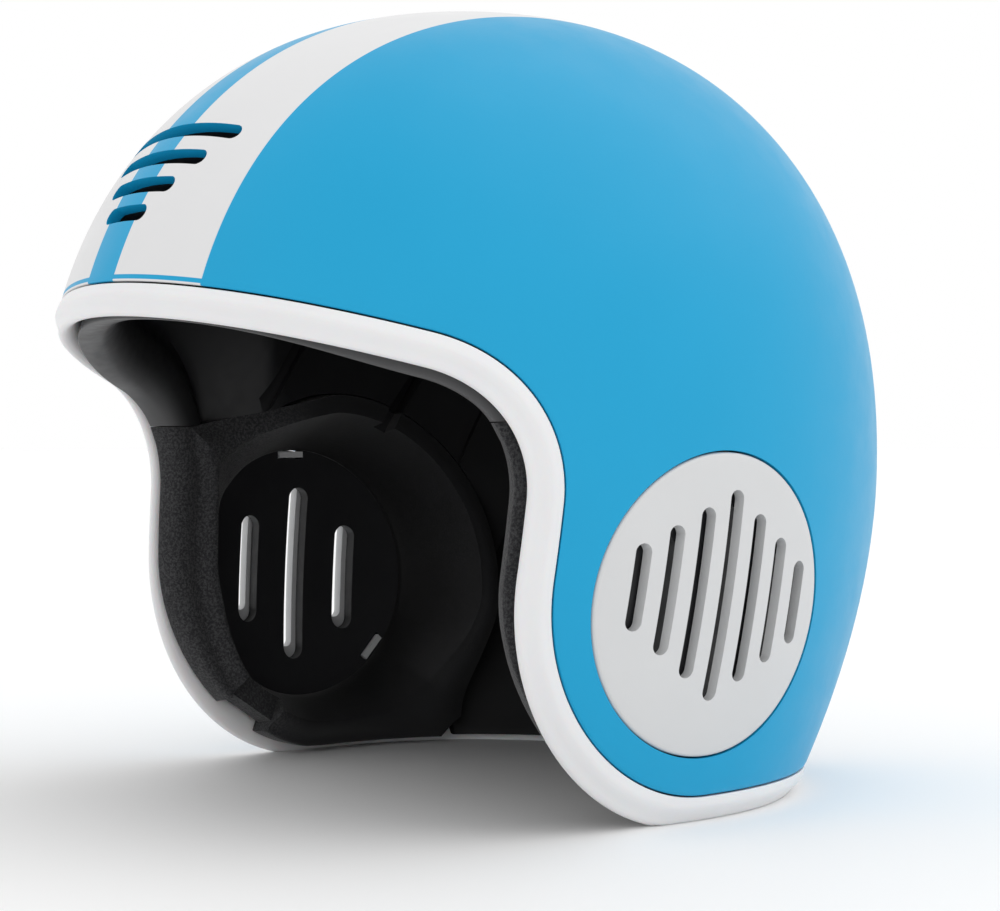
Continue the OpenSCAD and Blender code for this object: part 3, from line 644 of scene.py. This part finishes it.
# Knit: rows of small loops over the foam
def knitFabric(name, colour, other):
    material = startMaterial(name, colour, 0.9, Sheen_Weight=0.3, Sheen_Roughness=0.4)
    place = objectPlace(material)
    wavy = addNode(material, "ShaderNodeTexWave", {"wave_type": "BANDS", "bands_direction": "X"},
                   Vector=place, Scale=260.0, Distortion=3.0, Detail=2.0, Detail_Scale=1.5).outputs[1]
    rows = addNode(material, "ShaderNodeTexWave", {"wave_type": "BANDS", "bands_direction": "Y"},
                   Vector=place, Scale=190.0, Distortion=1.5, Detail=1.0).outputs[1]
    weave = calculate(material, "MULTIPLY", wavy, rows)
    setColour(material, blendColours(material, weave, colour, other))
    rough = noiseAt(material, place, 900, detail=2)
    setBump(material, calculate(material, "ADD", weave, rough), strength=0.6, distance=0.0006)
    return material


def brushedSteel(name):
    material = startMaterial(name, (0.62, 0.62, 0.63), 0.35, Metallic=1.0)
    place = objectPlace(material)
    stretched = addNode(material, "ShaderNodeMapping", Vector=place, Scale=(1, 30, 1)).outputs[0]
    scratches = noiseAt(material, stretched, 900, detail=4)
    connect(material, spread(material, scratches, 0.25, 0.45), shaderInput(material, "Roughness"))
    setBump(material, scratches, strength=0.1, distance=0.0002)
    return material


finishes = {
    "shellPaint": stripedPaint("striped shell paint"),
    "shellBare": shellPlastic("blue shell plastic"),
    "trim": softRubber("white trim rubber", (0.80, 0.80, 0.81), (0.77, 0.77, 0.78)),
    "cover": plainPlastic("pale cover plastic", (0.64, 0.645, 0.65), (0.62, 0.625, 0.63), (0.36, 0.44)),
    # The liner's last colour is the painted light on its rim
    "liner": linerFoamPaintedRimLight("black moulded liner with painted rim light", (0.012, 0.012, 0.013), (0.016, 0.016, 0.017),
                       (0.090, 0.090, 0.092)),
    # The ear foam's first colour is the moulded skin, painted darker in the bowl and lighter on the ridge
    "earFoam": earFoam("moulded ear foam", (0.012, 0.012, 0.013), (0.016, 0.016, 0.018),
                       (0.055, 0.055, 0.057)),
    "fabric": knitFabric("black knit", (0.010, 0.010, 0.011), (0.045, 0.045, 0.048)),
    "black": plainPlastic("black moulded plastic", (0.012, 0.012, 0.013), (0.018, 0.018, 0.019), (0.38, 0.5),
                          grain=800, bump=0.15),
    "plate": plainPlastic("black plate plastic", (0.014, 0.014, 0.016), (0.018, 0.018, 0.020), (0.45, 0.55),
                          grain=800, bump=0.08),
    "nylon": plainPlastic("natural nylon", (0.70, 0.68, 0.60), (0.66, 0.64, 0.57), (0.4, 0.5)),
    "anchor": plainPlastic("grey anchor plastic", (0.060, 0.060, 0.062), (0.075, 0.075, 0.078), (0.4, 0.5),
                           grain=800, bump=0.12),
    "steel": brushedSteel("brushed steel"),
}
print("materials made")


sides = ((1, "left"), (-1, "right"))


# Camera, floor and light

studio = {
    "place": (0.4539, -0.3717, 0.0929), "look": (-0.766, 0.643, -0.005), "lens": 76.4, "sensor": 36.0,
    "world": 1.0, "floorSize": 60.0, "floor": (0.90, 0.90, 0.90), "floorRough": 0.65, "clipEnd": 200,
    "sun": {"from": (0.5, 0.6, 1.2), "strength": 0.6, "spread": 65},
}


def makeStudio():
    camera = bpy.data.objects.new("camera", bpy.data.cameras.new("camera"))
    bpy.context.scene.collection.objects.link(camera)
    camera.location = studio["place"]
    camera.rotation_euler = Vector(studio["look"]).to_track_quat("-Z", "Y").to_euler()
    camera.data.lens = studio["lens"]
    camera.data.sensor_width = studio["sensor"]
    camera.data.clip_end = studio["clipEnd"]
    bpy.context.scene.camera = camera
    deselectAll()
    bpy.ops.mesh.primitive_plane_add(size=studio["floorSize"])
    floor = named("floor")
    floor.data.materials.append(startMaterial("studio floor", studio["floor"], studio["floorRough"]))
    world = bpy.data.worlds.new("studio")
    bpy.context.scene.world = world
    world.use_nodes = True
    background = world.node_tree.nodes["Background"]
    background.inputs[0].default_value = (1, 1, 1, 1)
    background.inputs[1].default_value = studio["world"]
    sun = bpy.data.lights.new("soft sun", "SUN")
    sun.energy = studio["sun"]["strength"]
    sun.angle = math.radians(studio["sun"]["spread"])
    holder = bpy.data.objects.new("soft sun", sun)
    bpy.context.scene.collection.objects.link(holder)
    holder.rotation_euler = Vector(studio["sun"]["from"]).to_track_quat("Z", "Y").to_euler()
    bpy.context.scene.view_settings.view_transform = "Standard"
    print("studio made")


makeStudio()


# Hard shell: the egg from the crown down to its rounded rim and back up inside

shell = {
    "rows": 66, "rim": [(0.0042, 0), (0.0018, 0.08), (0.0004, 0.35), (0, 0.8), (0, 2.4), (0.002, 3)],
    "ventCount": 4, "ventWidth": 4.6, "ventHalf": 24.3, "ventStep": 5.1, "ventTop": 170.4, "ventDrop": 7.1,
    "ventOver": 6, "ventDeep": 24, "earFrom": 60, "earTo": 120,
}
ear = {
    "y": earPlace[0], "z": earPlace[1], "coverRadius": 37.2, "coverThick": 3, "gap": 0.4,
    "slotPitch": 8.9, "slotWidth": 4.5, "slotLong": 47, "slotStep": 10.2, "slotLean": 6.4,
    "slotMiddle": (1, 2.4), "slotX": 80, "slotFrom": -22, "slotTo": 36, "circlePoints": 192,
    "plateRadius": 35, "plateThick": 3.8, "plateSlotWidth": 7, "plateSlotExtra": -1.5,
    "plateSlotMiddle": (0.5, -0.4), "flangeRadius": 38.6,
}


def onCircle(radius, turn):
    return ear["y"] + radius * math.cos(turn), ear["z"] + radius * math.sin(turn)


def circleCutter(radius, fromX, toX):
    count = ear["circlePoints"]
    return sideCutter([onCircle(radius, 2 * math.pi * i / count) for i in range(count)], fromX, toX)


def ventCutters(depth):
    cutters = []
    for i in range(shell["ventCount"]):
        z = shell["ventTop"] - shell["ventDrop"] * i
        length = 2 * (shell["ventHalf"] - shell["ventStep"] * i) - shell["ventWidth"]
        p = Vector((0, -frontAt(z, inset(0)), z))
        d = outward(p)
        place = Matrix.Translation(p) @ Matrix.Rotation(math.atan2(d.y, -d.z), 4, "X")
        cutters.append(slotCutter(place, length, shell["ventWidth"], -shell["ventOver"], depth))
    return joinPieces(*cutters)


def makeShell():
    count = shell["rows"]
    outside = [(1 - i / count, 0) for i in range(count)]
    inside = [(i / count, shellThick) for i in range(1, count + 1)]
    profile = outside + shell["rim"] + inside
    piece = layLoops("shell", [[layerPoint(e, t, inset(depth)) for e in edge] for t, depth in profile])
    piece.data.materials.append(finishes["shellPaint"])
    vents = ventCutters(shell["ventDeep"])
    vents.data.materials.append(finishes["shellBare"])
    cutWith(piece, vents)
    for side in (1, -1):
        hole = circleCutter(ear["coverRadius"] + ear["gap"], side * shell["earFrom"], side * shell["earTo"])
        hole.data.materials.append(finishes["shellBare"])
        cutWith(piece, hole)
    finishPiece(piece, "helmet", None, ["outer_shell"])


makeShell()

# Trim: a round soft bead along the whole edge, pressed flat where it stands

def trimSection():
    w = trim["width"]
    d = trim["depth"]
    gap = trim["gap"]
    return [(gap, -0.25), (gap + 0.15, 0.05), (w * 0.2, 0.35), (w * 0.42, 0.5), (w * 0.72, -0.9),
            (w * 0.93, -d * 0.27), (w, -d * 0.5), (w * 0.9, -d * 0.74), (w * 0.62, -d * 0.93),
            (w * 0.3, -d), (gap + 0.3, -d * 0.97), (gap, -d * 0.93)]


# A smooth curve through the points, with some more points between each two
def throughPoints(points, between):
    smoothed = []
    for i in range(len(points) - 1):
        a = Vector(points[max(0, i - 1)])
        b = Vector(points[i])
        c = Vector(points[i + 1])
        d = Vector(points[min(len(points) - 1, i + 2)])
        for k in range(between):
            t = k / between
            smoothed.append(0.5 * ((2 * b) + (c - a) * t + (2 * a - 5 * b + 4 * c - d) * t * t
                                   + (3 * b - 3 * c + d - a) * t * t * t))
    smoothed.append(Vector(points[-1]))
    return smoothed


def makeTrim():
    section = throughPoints(trimSection(), 3)
    columns = []
    for e in edge:
        p = layerPoint(e, 0, inset(0))
        off = offEdge(e)
        columns.append([p + off * q[0] * floorFit(p.z, off.z) - inwardsAt(e) * q[1] for q in section])
    loops = [[Vector((c[k].x, c[k].y, max(0, c[k].z))) for c in columns] for k in range(len(section))]
    loops.append(loops[0])
    piece = layLoops("edgeTrim", loops)
    finishPiece(piece, "helmet", finishes["trim"], ["edge_trim"], degrees=50)


makeTrim()


# Foam liner: a deep rim at the opening, thinner behind it, full depth further in, cut along its seams

liner = {
    "rows": 66, "gap": 0.3, "outer": 3.3, "flare": 0.3, "edgeDepth": 9.6, "rimShare": 0.08,
    "padRadius": 54, "seamFront": (-49, 98), "far": 150,
    "rearSeam": [(42, -10), (42, 6.7), (43.4, 14), (45.6, 22), (47.5, 31), (49.3, 42), (50, 54)],
    "napeTop": [(57, 69), (60, 78)], "napeThick": 6.5, "pocketHalf": 31, "pocketTop": 66, "pocketFloor": 2,
    "channels": [((-31, 103.5), (-12, 135), 4.5, 3), ((0, 77), (30, 122), 4.5, 3),
                 ((36, 80), (50, 112), 1, 1.5)],
    "channelReach": 25, "channelArc": 12, "ventDeep": 60, "reach": 200, "pocketRear": 230,
    # Share of the painted rim light on each loop of the rim, from its ledge to the inside
    "rimLightShares": [1, 1, 1, 1, 1, 1, 1, 0.85, 0.5, 0.15, 0],
    "napeStep": 0.0125, "napeRows": 21, "napeBelow": -0.02,
}


def linerPoint(e, t):
    depth = mix(rim["foam"], liner["edgeDepth"], ease(t / liner["rimShare"]))
    return layerPoint(e, t, inset(depth)).lerp(layerPoint(e, t, headSpace), ease(t / liner["flare"]))


# The side view of what the ear pad takes out of the liner: circle, rear seam and front seam
def padOutline(grow):
    radius = liner["padRadius"] + grow
    points = [(y + grow, z) for y, z in liner["rearSeam"]]
    front = liner["seamFront"]
    slope = (liner["padRadius"] + ear["z"] - front[1]) / (ear["y"] - front[0])
    for i in range(1, 120):
        y, z = onCircle(radius, math.radians(i))
        if y < ear["y"] and z < front[1] + grow + (y - front[0]) * slope:
            break
        points.append((y, z))
    points += [(front[0], front[1] + grow), (-liner["far"], front[1] + grow), (-liner["far"], -10)]
    return points


def napeOutline(grow):
    points = [(y + liner["gap"] + 0.1 - grow, z) for y, z in liner["rearSeam"][:5]]
    points += [(y - grow, z + grow) for y, z in liner["napeTop"]]
    return points + [(liner["far"], liner["napeTop"][1][1] + grow), (liner["far"], -10)]


def channelCutter(values, side):
    start, end, width, depth = values
    middle = ((start[0] + end[0]) / 2, (start[1] + end[1]) / 2)
    run = math.atan2(end[1] - start[1], end[0] - start[0])
    length = math.dist(start, end)
    wall = skinX(middle[0], middle[1], headSpace) + depth
    points = [(length, -width / 2), (length, width / 2)]
    for i in range(liner["channelArc"] + 1):
        turn = math.pi * i / liner["channelArc"]
        points.append((-width / 2 * math.sin(turn), width / 2 * math.cos(turn)))
    turned = [(start[0] + p[0] * math.cos(run) - p[1] * math.sin(run),
               start[1] + p[0] * math.sin(run) + p[1] * math.cos(run)) for p in points]
    return sideCutter(turned, side * (wall - liner["channelReach"]), side * wall)


def makeCrownLiner():
    count = liner["rows"]
    outside = [[layerPoint(e, 1 - i / count, inset(liner["outer"])) for e in edge] for i in range(count + 1)]
    inside = [[linerPoint(e, i / count) for e in edge] for i in range(count + 1)]
    rims = [list(loop) for loop in zip(*[rimPoints(e) for e in edge])]
    piece = layLoops("crownLiner", outside + rims + inside)
    piece.data.materials.append(finishes["liner"])
    # Painted light on the rim: each loop's share of the paler colour, full on the rim's face and fading into the
    # inside
    shares = [0] * (count + 1) + liner["rimLightShares"] + [0] * (count + 1)
    rimLightMap = piece.data.uv_layers.new(name="rim")
    for corner in piece.data.loops:
        rimLightMap.data[corner.index].uv = (shares[corner.vertex_index // len(edge)], 0)
    cutWith(piece, ventCutters(liner["ventDeep"]))
    for side in (1, -1):
        cutWith(piece, sideCutter(padOutline(liner["gap"]), 0, side * liner["reach"]))
        for values in liner["channels"]:
            cutWith(piece, channelCutter(values, side))
    cutWith(piece, sideCutter(napeOutline(liner["gap"]), -liner["reach"], liner["reach"]))
    finishPiece(piece, "helmet", finishes["liner"], ["crown_liner"], degrees=30)


makeCrownLiner()

# Strap anchors sit in notches of the foam: place in side view and turn about the skin's direction
anchor = {"front": (-27.4, 19.4, -34), "rear": (58, 14, 0), "depth": 4.6, "length": 15, "width": 5.4,
          "thick": 2, "room": 0.8, "frontUnder": 2.4, "rearUnder": 1.3, "reach": 20}
arm = {"pinY": 90, "pinZ": 50, "pinRadius": 2.1, "boreReach": 15}


def anchorSpace(place, side, under):
    turned = onSkin(place[0], place[1], anchor["depth"], place[2], side)
    room = anchor["room"]
    low = (-anchor["width"] / 2 - room, -anchor["length"] / 2 - room, -anchor["thick"] - under)
    return boxCutter(turned, low, (low[0] + 5 * anchor["width"], -low[1], low[2] + anchor["reach"]))


# The notch over the front anchor: a low step in the rim's end and in its inner face
def rimNotches(place, side):
    turned = onSkin(place[0], place[1], anchor["depth"], place[2], side)
    half = anchor["length"] / 2 + anchor["room"]
    reach = 2 * rim["foam"]
    across = anchor["width"] / 2 + anchor["room"]
    end = anchor["width"] / 2 + rim["past"][0][1] - rim["step"]
    face = rim["foam"] - rim["step"] - anchor["depth"]
    return [boxCutter(turned, (-across, -half, -reach), (reach, half, -face)),
            boxCutter(turned, (end, -half, -reach), (reach, half, reach))]


# A closed sheet of foam behind the nape from rows of inner points and rows of outer points
def napeSheet(name, inner, outer):
    piece = layLoops(name, [row + back[::-1] for row, back in zip(inner, outer)])
    startEdit(piece, "DESELECT")
    bpy.ops.mesh.select_non_manifold()
    bpy.ops.mesh.fill()
    bpy.ops.object.mode_set(mode="OBJECT")
    recalculate(piece)
    piece.data.materials.append(finishes["liner"])
    return piece


def makeNapeLiner():
    first = lastEdge - (opening["heelSteps"] + 1) * opening["finer"]
    around = edge[first:2 * lastEdge - first + 1]
    depthIn = liner["outer"] + liner["napeThick"]
    pocketDepth = foamDepth + liner["pocketFloor"]
    shares = [liner["napeStep"] * v for v in range(liner["napeRows"])]

    def rowsAt(depth):
        return [[layerPoint(e, t, inset(depth)) for e in around] for t in shares]

    rimRows = [list(row) for row in zip(*[rimPoints(e, depthIn) for e in around])]
    halfway = [rimPoints(e, depthIn)[-1].lerp(layerPoint(e, 0, inset(depthIn)), 0.5) for e in around]
    piece = napeSheet("napeLiner", rimRows[6:] + [halfway] + rowsAt(depthIn),
                      rimRows[5::-1] + rowsAt(foamDepth))
    cutWith(piece, sideCutter(napeOutline(0), -liner["reach"], liner["reach"]), operation="INTERSECT")
    pocket = boxCutter(Matrix.Identity(4), (-liner["pocketHalf"], 0, -1),
                       (liner["pocketHalf"], liner["pocketRear"], liner["pocketTop"]))
    shares[0] = liner["napeBelow"]
    cutWith(pocket, napeSheet("cutter", rowsAt(pocketDepth), rowsAt(foamDepth - 1)))
    cutWith(piece, pocket)
    for side in (1, -1):
        cutWith(piece, anchorSpace(anchor["rear"], side, anchor["rearUnder"]))
        pinPlace = onSkin(arm["pinY"], arm["pinZ"], depthIn, 0, side)
        cutWith(piece, slotCutter(pinPlace, 0, 2 * arm["pinRadius"], -arm["boreReach"], arm["boreReach"]))
    finishPiece(piece, "helmet", finishes["liner"], ["nape_liner"], degrees=30)


makeNapeLiner()

# Ear covers and the plates behind them: discs that follow the skin, with slots like bars of a sound picture

cover = {"clipTurns": (90, -43, 223), "clipWidth": 8.6, "clipThick": 1.8, "clipOver": 0.9, "clipGap": 0.35,
         "clipFrom": 1.5, "clipReach": 8.4, "clipHole": 4, "columns": 160, "faceRings": 24, "backRings": 12,
         "flangeRings": 16}


def earRing(radius, depth, side):
    ring = []
    for i in range(cover["columns"]):
        y, z = onCircle(radius, 2 * math.pi * i / cover["columns"])
        ring.append(Vector((side * skinX(y, z, inset(depth)), y, z)))
    return ring


def earDisc(name, profile, side):
    return layLoops(name, [earRing(radius, depth, side) for radius, depth in profile])


def slotCutters(indices, width, extra, middle, side):
    cutters = []
    lean = math.radians(-ear["slotLean"])
    for i in indices:
        length = ear["slotLong"] + extra - ear["slotStep"] * abs(i)
        place = (Matrix.Diagonal((side, 1, 1, 1)) @ Matrix.Translation((0, middle[0], middle[1]))
                 @ Matrix.Rotation(lean, 4, "X") @ Matrix.Translation((ear["slotX"], i * ear["slotPitch"], 0))
                 @ Matrix.Rotation(math.pi / 2, 4, "Y"))
        cutters.append(slotCutter(place, length, width, ear["slotFrom"], ear["slotTo"]))
    return joinPieces(*cutters)


def clipBars(side, grow, fromDepth, toDepth):
    bars = []
    for turn in cover["clipTurns"]:
        y, z = onCircle(ear["plateRadius"] + cover["clipOver"], math.radians(turn))
        thick = cover["clipThick"] + 2 * grow
        width = cover["clipWidth"] + 2 * grow
        place = (Matrix.Diagonal((side, 1, 1, 1)) @ Matrix.Translation((skinX(y, z, inset(toDepth)), y, z))
                 @ Matrix.Rotation(math.radians(turn), 4, "X"))
        low = (0, -thick / 2, -width / 2)
        bars.append(boxCutter(place, low, (toDepth - fromDepth, thick / 2, width / 2)))
    return bars


def makeEar(side, sideName):
    r = ear["coverRadius"]
    count = cover["faceRings"]
    face = [(r * i / count, -0.1) for i in range(count - 1)]
    corner = [(r - 1.0, -0.1), (r - 0.6, -0.02), (r - 0.28, 0.2), (r - 0.08, 0.5), (r, 0.9),
              (r, ear["coverThick"])]
    count = cover["backRings"]
    back = [(r * (1 - i / count), ear["coverThick"]) for i in range(1, count + 1)]
    disc = earDisc("earCover_" + sideName, face + corner + back, side)
    middle = (ear["y"] + ear["slotMiddle"][0], ear["z"] + ear["slotMiddle"][1])
    cutWith(disc, slotCutters(range(-3, 4), ear["slotWidth"], 0, middle, side))
    for bar in clipBars(side, 0, cover["clipFrom"], cover["clipReach"]):
        cutWith(disc, bar, operation="UNION")
    finishPiece(disc, sideName + "_cover", finishes["cover"], ["ear_cover_" + sideName],
                degrees=40)
    flange = ear["flangeRadius"]
    count = cover["flangeRings"]
    front = [(flange * i / count, foamDepth) for i in range(count + 1)]
    behind = [(flange * (1 - i / count), foamDepth + ear["plateThick"]) for i in range(count + 1)]
    plate = earDisc("earPlate_" + sideName, front + behind, side)
    middle = (ear["y"] + ear["plateSlotMiddle"][0], ear["z"] + ear["plateSlotMiddle"][1])
    cutWith(plate, slotCutters((-2, 0, 2), ear["plateSlotWidth"], ear["plateSlotExtra"], middle, side))
    for bar in clipBars(side, cover["clipGap"], 0, cover["clipReach"] + cover["clipHole"]):
        cutWith(plate, bar)
    finishPiece(plate, "helmet", finishes["plate"], ["ear_plate_" + sideName], degrees=40)


for side, sideName in sides:
    makeEar(side, sideName)

# Ear pads: from the hole at the plate out to the seams and the edge, dished round the ear

earPad = {
    "holeRadius": 37.4, "room": 39.1, "underPlate": 8.2, "lipDepth": 20, "blend": 40, "dish": 50,
    "faceRows": 44, "between": 4, "across": 11, "seamTurn": 3, "frontSeamY": -44, "frontSeamSteps": 12,
    "lipFromEnd": (6, 3.5), "rise": (0.55, 1.2), "softness": 20, "backParts": (0.25, 0.5, 0.75), "fill": 0.9,
}


def insideShare(y, z):
    return ease(min(z - opening["edgeZ"], y - liner["seamFront"][0]) / earPad["blend"])


# Where a row of points down the edge passes a height
def atHeight(points, z):
    for a, b in zip(points, points[1:]):
        if b.z <= z <= a.z:
            return a.lerp(b, (a.z - z) / max(1e-6, a.z - b.z))
    return points[0]


# Each rim entry: its points from the shell to the inner face, and its share of the way inside
def padRim():
    entries = []
    onEdge = []
    for e in halfEdge[opening["browSteps"] * opening["finer"]:]:
        p = layerPoint(e, 0, inset(0))
        if p.z < liner["seamFront"][1] and p.y < liner["rearSeam"][1][0] - 1:
            onEdge.append(e)
    rear = liner["rearSeam"][1]
    onEdge.append((turnAt(rear[0], rear[1], inset(0)), rear[1], 1, onEdge[-1][3]))
    columns = zip(*[[layerPoint(e, 0, inset(foamDepth))] + rimPoints(e) for e in halfEdge])
    entries.append(([atHeight(column, liner["seamFront"][1]) for column in columns], 0))
    for e in onEdge:
        entries.append(([layerPoint(e, 0, inset(foamDepth))] + rimPoints(e), 0))
    seam = throughPoints([Vector(p) for p in liner["rearSeam"][1:]], earPad["between"])[1:-1]
    for i in range(0, 91, earPad["seamTurn"]):
        seam.append(Vector(onCircle(liner["padRadius"], math.radians(i))))
    front = liner["seamFront"]
    for i in range(1, earPad["frontSeamSteps"] + 1):
        y = mix(ear["y"], earPad["frontSeamY"], i / earPad["frontSeamSteps"])
        part = (y - front[0]) / (ear["y"] - front[0])
        seam.append(Vector((y, mix(front[1], ear["z"] + liner["padRadius"], part))))
    for q in seam:
        w = insideShare(q.x, q.y)
        size = mixSizes(inset(rim["foam"]), headSpace, w)
        start = overSide(q, inset(foamDepth))
        end = overSide(q, size)
        entries.append(([start.lerp(end, k / earPad["across"]) for k in range(earPad["across"] + 1)], w))
    return entries


def aroundEar(radius, p):
    return Vector((ear["y"], ear["z"])) + Vector((p.y - ear["y"], p.z - ear["z"])).normalized() * radius


def softMin(a, b):
    power = -earPad["softness"]
    return (a ** power + b ** power) ** (1 / power)


def padFace(entry, fromHole):
    points, w = entry
    end = points[-1]
    far = math.dist((end.y, end.z), (ear["y"], ear["z"]))
    lip = softMin(far - mix(*earPad["lipFromEnd"], w), earPad["dish"])
    radius = mix(earPad["holeRadius"], lip, fromHole) if fromHole < 1 else mix(lip, far, fromHole - 1)
    q = aroundEar(radius, end)
    startX = skinX(q.x, q.y, inset(earPad["underPlate"] + 1))
    lipX = skinX(q.x, q.y, mixSizes(inset(earPad["lipDepth"]), headSpace, w)) - w
    if fromHole < 1:
        x = mix(startX, lipX, fromHole ** mix(*earPad["rise"], w))
    else:
        x = mix(lipX, end.x, ease(fromHole - 1))
    return Vector((x, q.x, q.y))


def makeEarPad(side, sideName):
    entries = padRim()
    loops = []
    hole, room, under = earPad["holeRadius"], earPad["room"], earPad["underPlate"]
    for radius, depth in ((hole, under), (room, under), (room, foamDepth)):
        ring = [aroundEar(radius, points[0]) for points, w in entries]
        loops.append([overSide(q, inset(depth)) for q in ring])
    for part in earPad["backParts"]:
        ring = [aroundEar(room, points[0]).lerp(Vector((points[0].y, points[0].z)), part)
                for points, w in entries]
        loops.append([overSide(q, inset(foamDepth)) for q in ring])
    loops += [list(ring) for ring in zip(*[points for points, w in entries])]
    count = earPad["faceRows"]
    loops += [[padFace(entry, 2 - 2 * i / count) for entry in entries] for i in range(1, count + 1)]
    loops.append(loops[0])
    mirrored = [[Vector((side * p.x, p.y, p.z)) for p in loop] for loop in loops]
    piece = layLoops("earPad_" + sideName, mirrored)
    piece.data.materials.append(finishes["earFoam"])
    cutWith(piece, channelCutter(liner["channels"][1], side))
    cutWith(piece, anchorSpace(anchor["front"], side, anchor["frontUnder"]))
    for cutter in rimNotches(anchor["front"], side):
        cutWith(piece, cutter)
    finishPiece(piece, "helmet", finishes["earFoam"], ["ear_pad_" + sideName], degrees=40)


for side, sideName in sides:
    makeEarPad(side, sideName)

# Soft pads: copies of their solids, swollen as knit over foam, with stitched lines pressed in afterwards

pads = {
    "voxel": 0.0022, "shrink": 0.0003, "pressure": 4.0, "frames": 20, "mostMove": 0.0014,
    "stitchWidth": 0.0009, "stitchDepth": 0.0008, "sewnFrom": 0.55, "stitchTo": 0.3, "ring": 0.62,
    "stripLines": (-0.017, 0, 0.017),
}


def copyOf(node, name):
    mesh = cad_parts[node].data.copy()
    piece = bpy.data.objects.new(name, mesh)
    bpy.context.scene.collection.objects.link(piece)
    mesh.name = name
    mesh.materials.clear()
    recalculate(piece)
    return piece


def swell(piece, behind):
    starts = [vertex.co.copy() for vertex in piece.data.vertices]
    pinned = piece.vertex_groups.new(name="sewn down")
    pinned.add([v.index for v in piece.data.vertices if v.normal.dot(behind(v.co)) > pads["sewnFrom"]],
               1.0, "REPLACE")
    cloth = piece.modifiers.new("swell", "CLOTH")
    cloth.settings.use_pressure = True
    cloth.settings.uniform_pressure_force = pads["pressure"]
    cloth.settings.vertex_group_mass = pinned.name
    cloth.settings.effector_weights.gravity = 0
    scene = bpy.context.scene
    for count in range(1, pads["frames"] + 1):
        scene.frame_set(count)
    makeActive(piece)
    bpy.ops.object.modifier_apply(modifier=cloth.name)
    scene.frame_set(1)
    for vertex, start in zip(piece.data.vertices, starts):
        moved = vertex.co - start
        if moved.length > pads["mostMove"]:
            vertex.co = start + moved.normalized() * pads["mostMove"]


def makeCushion(node, name, body, behind, stitches):
    piece = copyOf(node, name)
    modify(piece, "even", "REMESH", mode="VOXEL", voxel_size=pads["voxel"])
    startEdit(piece)
    bpy.ops.mesh.vertices_smooth(factor=0.5, repeat=2)
    bpy.ops.transform.shrink_fatten(value=-pads["shrink"])
    bpy.ops.object.mode_set(mode="OBJECT")
    swell(piece, behind)
    modify(piece, "finer", "SUBSURF", levels=1, render_levels=1)
    for vertex in piece.data.vertices:
        away = vertex.normal.dot(behind(vertex.co))
        if away < pads["stitchTo"]:
            near = min(stitch(vertex.co) for stitch in stitches)
            vertex.co -= vertex.normal * pads["stitchDepth"] * math.exp(-(near / pads["stitchWidth"]) ** 2)
    finishPiece(piece, body, finishes["fabric"], [node], degrees=60)


def middleOf(node):
    low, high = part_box(node)
    return (Vector(low) + Vector(high)) / 2


# Distance to a ring round the pad's middle, as a share of its outline, and to its middle line
def ringStitch(node, part):
    low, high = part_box(node)
    middle = middleOf(node)
    half = (Vector(high) - Vector(low)) / 2
    return lambda p: abs(math.hypot((p.x - middle.x) / half.x, (p.y - middle.y) / half.y) - part) * half.x


def lineStitch(middle, along):
    return lambda p: abs((p - middle).dot(Vector(along).normalized()))


def makeCushions():
    crown = middleOf("crown_pad")
    makeCushion("crown_pad", "crownPad", "helmet", lambda p: Vector((0, 0, 1)),
                [ringStitch("crown_pad", pads["ring"]), lineStitch(crown, (1, 0, 0))])
    for side, sideName in sides:
        node = "brow_pad_" + sideName
        middle = middleOf(node)
        makeCushion(node, "browPad_" + sideName, "helmet",
                    lambda p: Vector((p.x, p.y, 0)).normalized(),
                    [lineStitch(middle, (0, 0, 1))])
    strip = middleOf("cradle_pad")
    makeCushion("cradle_pad", "cradlePad", "cradle", lambda p: Vector((0, 1, 0)),
                [lineStitch(strip + Vector((x, 0, 0)), (1, 0, 0)) for x in pads["stripLines"]])


makeCushions()

# Hard parts of the fit system: their solids with every sharp edge broken, each on its own or once a side

hardParts = (
    ("nape_cradle", "napeCradle", "cradle", "black", 0.6), ("cradle_cover", "cradleCover", "cradle", "black", 0.3),
    ("fit_dial", "fitDial", "dial", "black", 0.45), ("fit_arm_", "fitArm_", "helmet", "black", 0.35),
    ("strap_anchor_front_", "strapAnchorFront_", "helmet", "anchor", 0.3),
    ("strap_anchor_rear_", "strapAnchorRear_", "helmet", "anchor", 0.3),
    ("rack_left", "rack_upper", "left_rack", "nylon", 0.12),
    ("rack_right", "rack_lower", "right_rack", "nylon", 0.12),
    ("dial_pinion", "dialPinion", "dial", "nylon", 0.1),
)
breaking = {"flatWithin": 0.5, "segments": 3, "sharpFrom": 40}


def breakEdges(node, name, body, finish, width):
    piece = copyOf(node, name)
    startEdit(piece)
    bpy.ops.mesh.dissolve_limited(angle_limit=math.radians(breaking["flatWithin"]))
    bpy.ops.object.mode_set(mode="OBJECT")
    modify(piece, "broken edges", "BEVEL", width=width * mm, segments=breaking["segments"], limit_method="ANGLE",
           angle_limit=math.radians(breaking["sharpFrom"]))
    finishPiece(piece, body, finishes[finish], [node], degrees=40)


for node, name, *values in hardParts:
    for sideName in ("left", "right") if node.endswith("_") else ("",):
        breakEdges(node + sideName, name + sideName, *values)

for node in ("anchor_studs", "arm_pins", "cover_screws", "dial_screw"):
    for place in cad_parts[node].material_slots:
        place.material = finishes["steel"]
print("fit system made")
